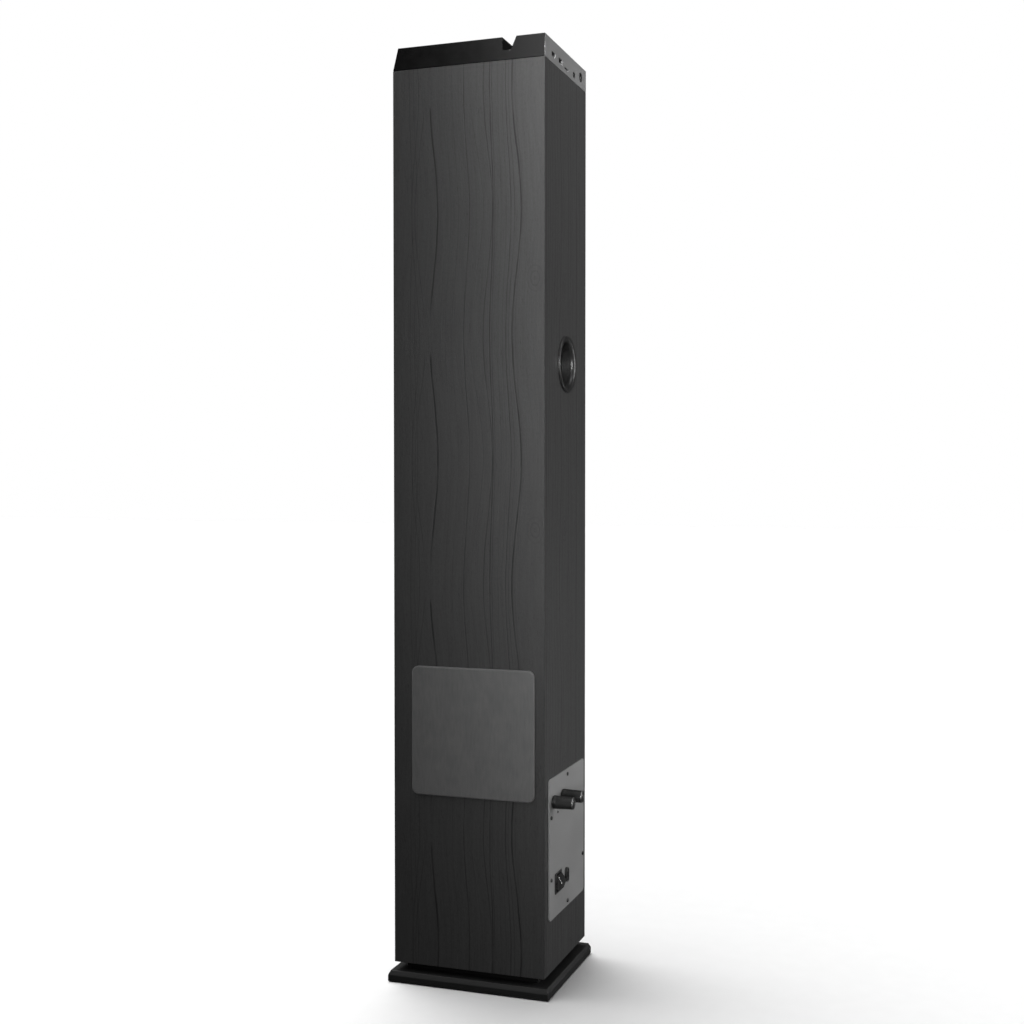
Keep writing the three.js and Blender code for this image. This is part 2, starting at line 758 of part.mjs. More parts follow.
// A dust cap: a shallow dome, from its rim at the given height
function capArc(radius, rim, height) {
  return arc(0, rim, radius, height, 0, Math.PI / 2);
}

function wooferCap(size, shapes) {
  const rim = shapes.capSeat + SEAM + CONE_THICKNESS;
  const inner = size.capRadius - CONE_THICKNESS;
  return turned(
    [
      ...capArc(inner, rim, size.capHeight - CONE_THICKNESS).reverse(),
      ...capArc(size.capRadius, rim, size.capHeight),
    ],
    size.segments,
  );
}

// A cone, its former and its dust cap in one, for the small drivers
function closedCone(size, shapes) {
  const rim = shapes.capSeat;
  return turned(
    [
      ...capArc(size.coilRadius, rim - CONE_THICKNESS, size.capHeight).reverse(),
      [size.coilRadius, shapes.coilEnd],
      ...shapes.coneRear,
      shapes.coneFront[0],
      ...capArc(size.capRadius, rim, size.capHeight),
    ],
    size.segments,
  );
}

// Woofer, clamped behind the right side panel so that it fires through the hole in it
function woofer() {
  const shapes = driverShapes(WOOFER);
  const driver = groupAt(
    [innerHalfWidth - SEAM, WOOFER_BEHIND_CENTRE, wooferZ],
    piece("woofer_basket", shapes.basket, castFrame),
    piece("woofer_surround", shapes.surround, surroundRubber),
    piece("woofer_cone", openCone(WOOFER, shapes), conePaper),
    piece("woofer_dust_cap", wooferCap(WOOFER, shapes), conePaper),
    piece("woofer_magnet", shapes.magnet, magnetSteel),
  );
  driver.rotation.z = -Math.PI / 2;
  return driver;
}

function mid(name, below) {
  const shapes = driverShapes(MID);
  const driver = groupAt(
    [0, baffleFront, cabinetTop - below],
    piece(name + "_basket", shapes.basket, castFrame),
    piece(name + "_surround", shapes.surround, surroundRubber),
    piece(name + "_cone", closedCone(MID, shapes), conePaper),
    piece(name + "_magnet", shapes.magnet, magnetSteel),
  );
  driver.rotation.z = Math.PI;
  return driver;
}

// Tweeter: a horn-mouthed faceplate, a soft dome on its coil former, and the motor behind
function tweeter() {
  const opening = TWEETER_DOME_RADIUS + TWEETER_RIM + SLIP;
  const faceplate = ring([
    [opening, -TWEETER_BODY_DEPTH],
    [TWEETER_BODY_RADIUS, -TWEETER_BODY_DEPTH],
    [TWEETER_BODY_RADIUS, -TWEETER_FLANGE_THICKNESS],
    [TWEETER_FLANGE_RADIUS, -TWEETER_FLANGE_THICKNESS],
    [TWEETER_FLANGE_RADIUS, 0],
    [TWEETER_HORN_RADIUS, 0],
    [opening, -TWEETER_DOME_DEPTH + TWEETER_RIM],
  ]);
  const magnetFace = -TWEETER_BODY_DEPTH - SEAM;
  const rim = -TWEETER_DOME_DEPTH;
  const coilEnd = rim - TWEETER_COIL_LENGTH;
  const coilInner = TWEETER_DOME_RADIUS - TWEETER_DOME_WALL;
  const dome = turned([
    ...capArc(coilInner, rim, TWEETER_DOME_HEIGHT - TWEETER_DOME_WALL).reverse(),
    [coilInner, coilEnd],
    [TWEETER_DOME_RADIUS, coilEnd],
    [TWEETER_DOME_RADIUS, rim - TWEETER_DOME_WALL],
    [TWEETER_DOME_RADIUS + TWEETER_RIM, rim - TWEETER_DOME_WALL],
    [TWEETER_DOME_RADIUS + TWEETER_RIM, rim],
    ...capArc(TWEETER_DOME_RADIUS, rim, TWEETER_DOME_HEIGHT),
  ]);
  const gapFloor = magnetFace - TWEETER_GAP_DEPTH;
  const magnet = turned([
    [0, magnetFace - TWEETER_MAGNET_HEIGHT],
    [TWEETER_MAGNET_RADIUS, magnetFace - TWEETER_MAGNET_HEIGHT],
    [TWEETER_MAGNET_RADIUS, magnetFace],
    [TWEETER_DOME_RADIUS + GAP_CLEARANCE, magnetFace],
    [TWEETER_DOME_RADIUS + GAP_CLEARANCE, gapFloor],
    [coilInner - GAP_CLEARANCE, gapFloor],
    [coilInner - GAP_CLEARANCE, magnetFace],
    [0, magnetFace],
  ]);
  const driver = groupAt(
    [0, baffleFront, cabinetTop - TWEETER_BELOW_TOP],
    piece("tweeter_faceplate", faceplate, blackPlastic),
    piece("tweeter_dome", dome, domeSilk),
    piece("tweeter_magnet", magnet, magnetSteel),
  );
  driver.rotation.z = Math.PI;
  return driver;
}

// A grille in its own frame: the frame's back at 0, facing +Y, with pegs that reach behind it
function grille(name, halfA, halfB, border, radius, thickness, pegs, bars) {
  const opening = prismY(
    roundedRectangle(halfA - border, halfB - border, radius / 2),
    -thickness,
    2 * thickness,
  );
  const rim = cut(prismY(roundedRectangle(halfA, halfB, radius), 0, thickness), opening);
  const pegRods = pegs.map(([a, b]) => rodY(PEG_RADIUS, -PEG_LENGTH, thickness / 2).translate(a, 0, b));
  const cloth = prismY(
    roundedRectangle(halfA, halfB, radius),
    thickness + SEAM,
    thickness + SEAM + CLOTH_THICKNESS,
  );
  return [
    piece(name + "_frame", joined(rim, ...bars, ...pegRods), blackPlastic),
    piece(name + "_cloth", cloth, grilleCloth),
  ];
}

function sideGrille() {
  const group = groupAt(
    [halfWidth + SEAM, WOOFER_BEHIND_CENTRE, wooferZ],
    ...grille(
      "side_grille",
      sideGrilleHalf,
      sideGrilleHalf,
      SIDE_GRILLE_BORDER,
      SIDE_GRILLE_RADIUS,
      SIDE_GRILLE_FRAME_THICKNESS,
      sideGrillePegs,
      [],
    ),
  );
  group.rotation.z = -Math.PI / 2;
  return group;
}

function frontGrille() {
  const barHalfLength = frontGrilleHalfWidth - FRONT_GRILLE_BORDER / 2;
  const driversBottom = cabinetTop - LOWER_MID_BELOW_TOP - MID.flangeRadius - FRONT_GRILLE_BAR;
  const pitch = (driversBottom - frontGrilleBottom) / FRONT_GRILLE_BARS;
  const barBack = FRONT_GRILLE_FRAME_THICKNESS - FRONT_GRILLE_BAR_THICKNESS;
  const bars = [];
  for (let i = 1; i <= FRONT_GRILLE_BARS; i++) {
    const z = i * pitch - frontGrilleHalfHeight;
    bars.push(
      block(
        [-barHalfLength, barBack, z - FRONT_GRILLE_BAR / 2],
        [barHalfLength, FRONT_GRILLE_FRAME_THICKNESS, z + FRONT_GRILLE_BAR / 2],
      ),
    );
  }
  const group = groupAt(
    [0, baffleFront - SEAM, frontGrilleZ],
    ...grille(
      "front_grille",
      frontGrilleHalfWidth,
      frontGrilleHalfHeight,
      FRONT_GRILLE_BORDER,
      FRONT_GRILLE_RADIUS,
      FRONT_GRILLE_FRAME_THICKNESS,
      frontGrillePegs,
      bars,
    ),
  );
  group.rotation.z = Math.PI;
  return group;
}

const switchHalfX = ROCKER_HALF_WIDTH + SLIP + SWITCH_WALL;
const switchHalfZ = ROCKER_HALF_HEIGHT + ROCKER_END_CLEARANCE + SWITCH_END_WALL;

// Amplifier: the rear plate with its screws, controls and inlet, and the box of electronics behind it
function amplifier() {
  const plate = prismY(
    roundedRectangle(ampHalfWidth, AMP_HEIGHT / 2, AMP_PLATE_RADIUS),
    plateBack,
    plateFront,
  ).translate(0, 0, AMP_BOTTOM + AMP_HEIGHT / 2);
  const through = (radius, x, z) => rodY(radius, plateBack - BEYOND, plateFront + BEYOND).translate(x, 0, z);
  const holes = [
    ...screws.map(([x, z]) => through(SCREW_RADIUS + SEAM, x, z)),
    ...knobs.map(([, x]) => through(SHAFT_RADIUS + SLIP, x, knobZ)),
    through(LED_HOLE_RADIUS, knobX - KNOB_PITCH / 2, knobZ - LED_BELOW_KNOBS),
    block(
      [switchX - switchHalfX - SEAM, plateBack - BEYOND, controlRowZ - switchHalfZ - SEAM],
      [switchX + switchHalfX + SEAM, plateFront + BEYOND, controlRowZ + switchHalfZ + SEAM],
    ),
    prismY(
      roundedRectangle(INLET_WIDTH / 2 + SEAM, INLET_HEIGHT / 2 + SEAM, INLET_RADIUS),
      plateBack - BEYOND,
      plateFront + BEYOND,
    ).translate(inletX, 0, controlRowZ),
  ];
  const headSeat = plateFront + SEAM;
  const screwShape = turned(
    [
      [0, plateFront - SCREW_LENGTH],
      [SCREW_RADIUS, plateFront - SCREW_LENGTH + SCREW_RADIUS],
      [SCREW_RADIUS, headSeat],
      [SCREW_HEAD_RADIUS, headSeat],
      [SCREW_HEAD_RADIUS, headSeat + SCREW_HEAD_HEIGHT / 2],
      [SCREW_CROWN_RADIUS, headSeat + SCREW_HEAD_HEIGHT],
      [0, headSeat + SCREW_HEAD_HEIGHT],
    ],
    SMALL_SEGMENTS,
  );
  return groupAt(
    [0, 0, 0],
    piece("amp_plate", cut(plate, ...holes), platePaint),
    ...screws.map(([x, z], i) => piece("amp_screw_" + (i + 1), screwShape, zincScrew, [x, 0, z])),
    ...knobs.flatMap(([name, x]) => control(name, x)),
    powerSwitch(),
    piece("mains_inlet", inlet(), blackPlastic, [inletX, plateFront, controlRowZ]),
    ...electronics(),
  );
}

// A knob on its shaft, and the potentiometer that the shaft turns in
function control(name, x) {
  const start = plateFront + SLIP;
  const end = start + KNOB_LENGTH;
  const knob = turned([
    [0, plateBack - SHAFT_LENGTH],
    [SHAFT_RADIUS, plateBack - SHAFT_LENGTH],
    [SHAFT_RADIUS, start],
    [KNOB_RADIUS, start],
    [KNOB_TIP_RADIUS, end - KNOB_CHAMFER],
    [KNOB_TIP_RADIUS - KNOB_CHAMFER, end],
    [0, end],
  ]);
  const potFront = plateBack - SEAM;
  const bore = SHAFT_RADIUS + SEAM;
  const boreEnd = plateBack - SHAFT_LENGTH - SEAM;
  const pot = turned([
    [0, potFront - POT_DEPTH],
    [POT_RADIUS, potFront - POT_DEPTH],
    [POT_RADIUS, potFront],
    [bore, potFront],
    [bore, boreEnd],
    [0, boreEnd],
  ]);
  return [
    piece(name + "_knob", knob, blackPlastic, [x, 0, knobZ]),
    piece(name + "_pot", pot, sheetSteel, [x, 0, knobZ]),
  ];
}

// A cylinder along X, centred
function rodAcross(radius, half) {
  return new THREE.CylinderGeometry(radius, radius, 2 * half, SMALL_SEGMENTS).rotateZ(Math.PI / 2);
}

// Power switch: an open-topped housing in the plate, and a ridged rocker on two pivot pins
function powerSwitch() {
  const bezelX = switchHalfX + SWITCH_BEZEL;
  const bezelZ = switchHalfZ + SWITCH_BEZEL;
  const cavityX = ROCKER_HALF_WIDTH + SLIP;
  const cavityZ = ROCKER_HALF_HEIGHT + ROCKER_END_CLEARANCE;
  const pinHalf = cavityX + ROCKER_PIN_LENGTH;
  const housing = cut(
    joined(
      block([-bezelX, SEAM, -bezelZ], [bezelX, SWITCH_BEZEL_PROUD, bezelZ]),
      block([-switchHalfX, -SWITCH_DEPTH, -switchHalfZ], [switchHalfX, SWITCH_BEZEL_PROUD, switchHalfZ]),
    ),
    block([-cavityX, SWITCH_FLOOR - SWITCH_DEPTH, -cavityZ], [cavityX, SWITCH_DEPTH, cavityZ]),
    rodAcross(ROCKER_PIN_RADIUS + SEAM, pinHalf + SEAM),
  );
  const section = outline([
    [-ROCKER_ROOT, -ROCKER_ROOT_HALF_HEIGHT],
    [ROCKER_END_PROUD, -ROCKER_HALF_HEIGHT],
    [ROCKER_RIDGE_PROUD, 0],
    [ROCKER_END_PROUD, ROCKER_HALF_HEIGHT],
    [-ROCKER_ROOT, ROCKER_ROOT_HALF_HEIGHT],
  ]);
  const rocker = piece(
    "power_rocker",
    joined(prismX(section, -ROCKER_HALF_WIDTH, ROCKER_HALF_WIDTH), rodAcross(ROCKER_PIN_RADIUS, pinHalf)),
    blackPlastic,
  );
  rocker.rotation.x = THREE.MathUtils.degToRad(ROCKER_TILT_DEG);
  return groupAt(
    [switchX, plateFront, controlRowZ],
    piece("power_switch_housing", housing, blackPlastic),
    rocker,
  );
}

// Mains inlet: a shroud round two pins, with a flange behind the plate; 0 is the plate's front
function inlet() {
  const halfX = INLET_WIDTH / 2;
  const halfZ = INLET_HEIGHT / 2;
  const flangeFront = -AMP_PLATE_THICKNESS - SEAM;
  const cavityFloor = INLET_PROUD - INLET_CAVITY_DEPTH;
  const shell = cut(
    joined(
      prismY(roundedRectangle(halfX, halfZ, INLET_RADIUS), -INLET_DEPTH, INLET_PROUD),
      prismY(
        roundedRectangle(halfX + INLET_FLANGE, halfZ + INLET_FLANGE, INLET_RADIUS),
        flangeFront - INLET_FLANGE_THICKNESS,
        flangeFront,
      ),
    ),
    prismY(
      roundedRectangle(halfX - INLET_WALL, halfZ - INLET_WALL, INLET_RADIUS - INLET_WALL),
      cavityFloor,
      INLET_PROUD + BEYOND,
    ),
  );
  const pin = (z) =>
    rodY(INLET_PIN_RADIUS, cavityFloor - BEYOND, cavityFloor + INLET_PIN_LENGTH).translate(0, 0, z);
  return joined(shell, pin(-INLET_PIN_PITCH / 2), pin(INLET_PIN_PITCH / 2));
}

// The steel box behind the plate, with the amplifier board and the mains transformer in it
function electronics() {
  const boxFront = plateBack - SEAM;
  const boxBack = boxFront - BACK_BOX_DEPTH;
  const boxHalfX = ampHalfWidth - AMP_RIM - SLIP;
  const boxBottom = AMP_BOTTOM + AMP_RIM + SLIP;
  const boxTop = ampTop - BACK_BOX_BELOW_PLATE_TOP;
  const sheet = BACK_BOX_SHEET;
  const box = cut(
    block([-boxHalfX, boxBack, boxBottom], [boxHalfX, boxFront, boxTop]),
    block(
      [-boxHalfX + sheet, boxBack + sheet, boxBottom + sheet],
      [boxHalfX - sheet, boxFront + BEYOND, boxTop - sheet],
    ),
  );
  const boardHalfX = boxHalfX - CIRCUIT_BOARD_EDGE;
  const boardY = boxFront - CIRCUIT_BOARD_SETBACK;
  const boardBottom = boxBottom + CIRCUIT_BOARD_EDGE;
  const boardTop = boxTop - CIRCUIT_BOARD_EDGE;
  const capacitors = [];
  for (let i = 0; i < CAPACITOR_COUNT; i++) {
    capacitors.push(
      rodY(CAPACITOR_RADIUS, boardY - CAPACITOR_HEIGHT, boardY + CIRCUIT_BOARD_THICKNESS / 2).translate(
        i * CAPACITOR_PITCH,
        0,
        boardBottom + 2 * CAPACITOR_RADIUS,
      ),
    );
  }
  const [sinkX, sinkY, sinkZ] = HEATSINK;
  const heatsink = block(
    [-sinkX, boardY - sinkY, boardTop - sinkZ],
    [0, boardY + CIRCUIT_BOARD_THICKNESS / 2, boardTop - CIRCUIT_BOARD_EDGE],
  );
  const board = joined(
    block([-boardHalfX, boardY, boardBottom], [boardHalfX, boardY + CIRCUIT_BOARD_THICKNESS, boardTop]),
    heatsink,
    ...capacitors,
  );
  const transformerY = boardY + CIRCUIT_BOARD_THICKNESS + SEAM;
  const coilDepth = TRANSFORMER_COIL[1];
  const centred = ([x, y, z]) =>
    block([-x / 2, (coilDepth - y) / 2, -z / 2], [x / 2, (coilDepth + y) / 2, z / 2]);
  return [
    piece("amp_back_box", box, sheetSteel),
    piece("amp_circuit_board", board, circuitGreen),
    piece("mains_transformer", joined(centred(TRANSFORMER_CORE), centred(TRANSFORMER_COIL)), magnetSteel, [
      0,
      transformerY,
      controlRowZ + TRANSFORMER_ABOVE_ROW,
    ]),
  ];
}

const panelBack = halfDepth - PANEL_THICKNESS;
const socketFront = panelBack - SEAM;
const usbPlaces = USB_COLUMNS.map((share) => [share * halfWidth, 0, USB_HEIGHT_ON_PANEL]);
const cardPlace = [CARD_COLUMN * halfWidth, 0, CARD_HEIGHT_ON_PANEL];
const auxPlace = [AUX_COLUMN * halfWidth, 0, AUX_HEIGHT_ON_PANEL];
const micPlace = [MIC_COLUMN * halfWidth, 0, MIC_HEIGHT_ON_PANEL];

// Cap: a moulded shell across the top, open below and behind, with the tablet slot through its full width
function cap() {
  const slotFront = halfDepth - SLOT_FRONT_FROM_BACK;
  const slotFloorRear = slotFront + SLOT_FLOOR_DEPTH;
  const slotTopRear = slotFloorRear + SLOT_LEAN;
  const topFront = -halfDepth + CAP_FRONT_SLANT;
  const skinTop = CAP_HEIGHT - CAP_WALL;
  const skinFloor = SLOT_FLOOR_HEIGHT - CAP_WALL;
  const outside = outline([
    [-halfDepth, SEAM],
    [halfDepth, SEAM],
    [halfDepth, CAP_HEIGHT],
    [slotTopRear, CAP_HEIGHT],
    [slotFloorRear, SLOT_FLOOR_HEIGHT],
    [slotFront + SLOT_CORNER, SLOT_FLOOR_HEIGHT],
    [slotFront, SLOT_FLOOR_HEIGHT + SLOT_CORNER],
    [slotFront, CAP_HEIGHT],
    [topFront, CAP_HEIGHT],
  ]);
  const inside = outline([
    [-halfDepth + CAP_WALL, -BEYOND],
    [halfDepth, -BEYOND],
    [halfDepth, skinTop],
    [slotTopRear + CAP_WALL, skinTop],
    [slotFloorRear + CAP_WALL, skinFloor],
    [slotFront - CAP_WALL, skinFloor],
    [slotFront - CAP_WALL, skinTop],
    [topFront + CAP_WALL, skinTop],
    [-halfDepth + CAP_WALL, SEAM],
  ]);
  const cheekX = halfWidth - PANEL_CHEEK;
  const touch = roundedRectangle(TOUCH_WIDTH / 2, TOUCH_DEPTH / 2, TOUCH_RADIUS);
  const touchRecess = roundedRectangle(TOUCH_WIDTH / 2 + SEAM, TOUCH_DEPTH / 2 + SEAM, TOUCH_RADIUS);
  const touchY = (topFront + slotFront) / 2;
  const shell = cut(
    prismX(outside, -halfWidth, halfWidth),
    common(
      prismX(inside, -halfWidth + CAP_WALL, halfWidth - CAP_WALL),
      block([-halfWidth, -halfDepth, -BEYOND], [halfWidth, panelBack, CAP_HEIGHT]),
    ),
    block([-cheekX, socketFront, -BEYOND], [cheekX, halfDepth + BEYOND, CAP_HEIGHT + BEYOND]),
    prismZ(touchRecess, CAP_HEIGHT - TOUCH_THICKNESS - SEAM, CAP_HEIGHT + BEYOND).translate(0, touchY, 0),
  );
  const touchPanel = prismZ(touch, CAP_HEIGHT - TOUCH_THICKNESS, CAP_HEIGHT);
  return groupAt(
    [0, 0, cabinetTop],
    piece("cap_shell", shell, blackPlastic),
    piece("touch_panel", touchPanel, glossBlack, [0, touchY, 0]),
    ...inputPanel(),
  );
}

// Input panel: a plate between the cap's cheeks, with the sockets behind their openings
function inputPanel() {
  const panelX = halfWidth - PANEL_CHEEK - SEAM;
  const slit = ([width, height], place) => {
    const bottom = [-width / 2, panelBack - BEYOND, -height / 2];
    const top = [width / 2, halfDepth + BEYOND, height / 2];
    return block(bottom, top).translate(...place);
  };
  const hole = (size, place) =>
    rodY(size.collarRadius + SEAM, panelBack - BEYOND, halfDepth + BEYOND).translate(...place);
  const panel = cut(
    block([-panelX, panelBack, SEAM], [panelX, halfDepth, CAP_HEIGHT]),
    ...usbPlaces.map((place) => slit(USB_OPENING, place)),
    slit(CARD_OPENING, cardPlace),
    hole(AUX, auxPlace),
    hole(MIC, micPlace),
  );
  return [
    piece("io_panel", panel, platePaint),
    ...usbPlaces.map((place, i) =>
      piece("usb_socket_" + (i + 1), boxSocket(USB_BODY, USB_CAVITY), socketMetal, place),
    ),
    piece("memory_card_socket", boxSocket(CARD_BODY, CARD_CAVITY), socketMetal, cardPlace),
    piece("aux_jack", jack(AUX), blackPlastic, auxPlace),
    piece("mic_jack", jack(MIC), blackPlastic, micPlace),
  ];
}

// A socket with a rectangular cavity; both sizes are [width, depth, height]
function boxSocket([bodyX, bodyY, bodyZ], [cavityX, cavityY, cavityZ]) {
  return cut(
    block([-bodyX / 2, socketFront - bodyY, -bodyZ / 2], [bodyX / 2, socketFront, bodyZ / 2]),
    block(
      [-cavityX / 2, socketFront - cavityY, -cavityZ / 2],
      [cavityX / 2, socketFront + BEYOND, cavityZ / 2],
    ),
  );
}

// A round jack: its collar stands through the panel, and its body lies behind
function jack(size) {
  const front = halfDepth + COLLAR_PROUD;
  return turned(
    [
      [0, socketFront - size.bodyLength],
      [size.bodyRadius, socketFront - size.bodyLength],
      [size.bodyRadius, socketFront],
      [size.collarRadius, socketFront],
      [size.collarRadius, front],
      [size.boreRadius, front],
      [size.boreRadius, front - size.boreLength],
      [0, front - size.boreLength],
    ],
    SMALL_SEGMENTS,
  );
}

const speaker = new THREE.Group();
speaker.name = "floorstanding_speaker";
speaker.add(
  base(),
  cabinet(),
  woofer(),
  mid("upper_mid", UPPER_MID_BELOW_TOP),
  mid("lower_mid", LOWER_MID_BELOW_TOP),
  tweeter(),
  sideGrille(),
  frontGrille(),
  amplifier(),
  cap(),
);

export default speaker;
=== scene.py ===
from math import atan2, cos, pi, radians, sin

import bmesh
import bpy
from mathutils import Matrix, Vector


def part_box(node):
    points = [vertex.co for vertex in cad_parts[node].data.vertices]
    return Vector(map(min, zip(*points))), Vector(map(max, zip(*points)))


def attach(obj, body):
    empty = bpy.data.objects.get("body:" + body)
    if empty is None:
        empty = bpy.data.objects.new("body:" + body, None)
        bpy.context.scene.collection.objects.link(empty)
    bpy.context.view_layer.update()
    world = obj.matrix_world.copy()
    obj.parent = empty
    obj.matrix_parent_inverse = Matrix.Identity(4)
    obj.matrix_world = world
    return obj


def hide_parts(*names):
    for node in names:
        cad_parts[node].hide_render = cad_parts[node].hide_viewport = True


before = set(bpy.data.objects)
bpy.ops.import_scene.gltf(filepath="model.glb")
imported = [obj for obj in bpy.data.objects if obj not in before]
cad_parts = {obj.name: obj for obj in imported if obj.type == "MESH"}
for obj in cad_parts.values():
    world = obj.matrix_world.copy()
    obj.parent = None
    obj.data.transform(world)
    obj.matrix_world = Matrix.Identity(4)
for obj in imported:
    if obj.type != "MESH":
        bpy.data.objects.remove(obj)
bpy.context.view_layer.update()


# ---------------------------------------------------------------- Base plate
# The foot of the column is a fibreboard plate with a bevelled upper edge. It is wrapped in black
# vinyl, its grain running level, and screwed up into the spacer that carries the cabinet.
def wire(tree, kind, sockets, **settings):
    made = tree.nodes.new("ShaderNode" + kind)
    for key, value in settings.items():
        setattr(made, key, value)
    for key, value in sockets.items():
        if isinstance(value, bpy.types.NodeSocket):
            tree.links.new(value, made.inputs[key])
        else:
            made.inputs[key].default_value = value
    return made


def maths(tree, operation, *values):
    return wire(tree, "Math", dict(enumerate(values)), operation=operation).outputs[0]


def spread(tree, value, old_low, old_high, new_low, new_high):
    sockets = {0: value, 1: old_low, 2: old_high, 3: new_low, 4: new_high}
    return wire(tree, "MapRange", sockets, interpolation_type="SMOOTHSTEP").outputs[0]


def blank(name, metal=0.0, shine=0.5):
    made = bpy.data.materials.new(name)
    made.use_nodes = True
    shader = made.node_tree.nodes["Principled BSDF"]
    shader.inputs["Metallic"].default_value = metal
    shader.inputs["Specular IOR Level"].default_value = shine
    return made, made.node_tree, shader


def noise(tree, scale, stretch=(1, 1, 1), detail=2.0):
    place = wire(tree, "TexCoord", {}).outputs["Object"]
    stretched = wire(tree, "Mapping", {"Vector": place, "Scale": stretch}).outputs[0]
    sockets = {"Vector": stretched, "Scale": scale, "Detail": detail}
    return wire(tree, "TexNoise", sockets).outputs[0]


def grained(tree, shader, height, depth, strength=0.5):
    sockets = {"Height": height, "Strength": strength, "Distance": depth}
    bump = wire(tree, "Bump", sockets).outputs["Normal"]
    tree.links.new(bump, shader.inputs["Normal"])


def coloured(tree, shader, factor, low, high):
    ramp = wire(tree, "ValToRGB", {0: factor})
    ramp.color_ramp.elements[0].color = (*low, 1)
    ramp.color_ramp.elements[1].color = (*high, 1)
    tree.links.new(ramp.outputs[0], shader.inputs["Base Color"])


def surface(name, low, high, rough, metal=0.0, shine=0.5, grit=900.0, depth=0.00004, stretch=(1, 1, 1)):
    """A finish with slow mottling between two colours, fine grit in its bump and uneven gloss."""
    made, tree, shader = blank(name, metal, shine)
    fine = noise(tree, grit, stretch)
    broad = noise(tree, grit / 22, stretch, 4.0)
    both = maths(tree, "ADD", maths(tree, "MULTIPLY", fine, 0.45), maths(tree, "MULTIPLY", broad, 0.55))
    coloured(tree, shader, spread(tree, both, 0.3, 0.7, 0.0, 1.0), low, high)
    uneven = spread(tree, broad, 0.3, 0.7, rough * 0.94, rough * 1.06)
    tree.links.new(uneven, shader.inputs["Roughness"])
    grained(tree, shader, fine, depth)
    return made


def grey(value):
    return (value, value, value)


def finished(name, shape, material, body, *stands_for, slot=None, crease=32):
    """Makes the bmesh an object with smooth rounds and crisp corners, and rides it on its body."""
    data = bpy.data.meshes.new(name)
    shape.to_mesh(data)
    shape.free()
    data.shade_smooth()
    data.set_sharp_from_angle(angle=radians(crease))
    data.materials.append(material)
    made = bpy.data.objects.new(name, data)
    bpy.context.scene.collection.objects.link(made)
    made.modifiers.new("flat_faces_stay_flat", "WEIGHTED_NORMAL").keep_sharp = True
    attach(made, body)
    if stands_for:
        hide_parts(*stands_for)
    return made


def soften(shape, width, segments=2, sharper=35, shortest=0.0):
    """Rounds the edges where two faces meet at more than the given angle."""
    edges = [
        edge
        for edge in shape.edges
        if len(edge.link_faces) == 2
        and edge.calc_face_angle(0) > radians(sharper)
        and edge.calc_length() > shortest
    ]
    bmesh.ops.bevel(
        shape, geom=edges, offset=width, offset_type="OFFSET", affect="EDGES", segments=segments,
        profile=0.5, material=-1, clamp_overlap=True,
    )


def eased(node, width, shortest=0.004, segments=2, sharper=25):
    """A copy of a CAD solid with its longer edges eased, as sanding or a mould leaves them."""
    shape = bmesh.new()
    shape.from_mesh(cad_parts[node].data)
    bmesh.ops.remove_doubles(shape, verts=shape.verts, dist=2e-6)
    bmesh.ops.dissolve_limit(shape, angle_limit=radians(0.5), verts=shape.verts, edges=shape.edges)
    soften(shape, width, segments, sharper, shortest)
    return shape


vinyl_level = surface(
    "black_vinyl_level_grain", grey(0.006), grey(0.014), 0.5, shine=0.25, grit=700, depth=0.00012,
    stretch=(0.06, 0.06, 1),
)
finished(
    "base_plate_wrapped", eased("base_plate", 0.0006), vinyl_level, "cabinet", "base_plate",
    slot="wood_vinyl",
)


# ---------------------------------------------------------------- Feet and spacer
# Four moulded rubber discs are pressed into pockets under the base plate. Above it a matt black
# block, smaller than the cabinet all round, leaves the dark gap that the column floats on.
def turned(points, centre, axis, segments=64, ease=0.0, closed=False):
    """A solid or ring spun about an axis, from points given as (radius, distance along the axis)."""
    shape = bmesh.new()
    centre, axis = Vector(centre), Vector(axis)
    side = Vector((0, 0, 1)).cross(axis)
    side = side.normalized() if side.length > 0.5 else Vector((1, 0, 0))
    verts = [shape.verts.new(centre + side * radius + axis * along) for radius, along in points]
    follow = zip(verts, verts[1:] + verts[:1]) if closed else zip(verts, verts[1:])
    edges = [shape.edges.new(pair) for pair in follow]
    bmesh.ops.spin(
        shape, geom=verts + edges, cent=centre, axis=axis, angle=2 * pi, steps=segments, use_merge=True
    )
    bmesh.ops.remove_doubles(shape, verts=shape.verts, dist=1e-6)
    bmesh.ops.recalc_face_normals(shape, faces=shape.faces)
    if ease:
        soften(shape, ease)
    return shape


def middle(node):
    low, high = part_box(node)
    return (low + high) / 2


foot_rubber = surface("foot_rubber", grey(0.008), grey(0.018), 0.85, grit=1600, depth=0.00006)
for corner in ("front_left", "front_right", "rear_left", "rear_right"):
    low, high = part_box("foot_" + corner)
    radius = (high.x - low.x) / 2
    thick = high.z - low.z
    under = Vector((middle("foot_" + corner).x, middle("foot_" + corner).y, low.z))
    profile = [(0, 0), (radius, 0), (radius, thick), (0, thick)]
    finished(
        "rubber_foot_" + corner, turned(profile, under, (0, 0, 1), 48, 0.0006), foot_rubber, "cabinet",
        "foot_" + corner, slot="foot_rubber",
    )

spacer_paint = surface("spacer_matt_black", grey(0.003), grey(0.007), 0.9, shine=0.2, grit=1200)
finished(
    "spacer_block", eased("plinth_spacer", 0.0008), spacer_paint, "cabinet", "plinth_spacer",
    slot="spacer_black",
)


# ---------------------------------------------------------------- Cabinet panels
# The side and back panels are one sheet of board in a printed black-ash vinyl, folded at mitred
# corners. The print repeats along the foil: wavy heart lines, fine pores and small knot ripples.
VINYL_REPEAT = 0.2725
VINYL_PHASE = 0.088
KNOT_PHASE = 0.782
VINYL_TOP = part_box("side_panel_right")[1].z


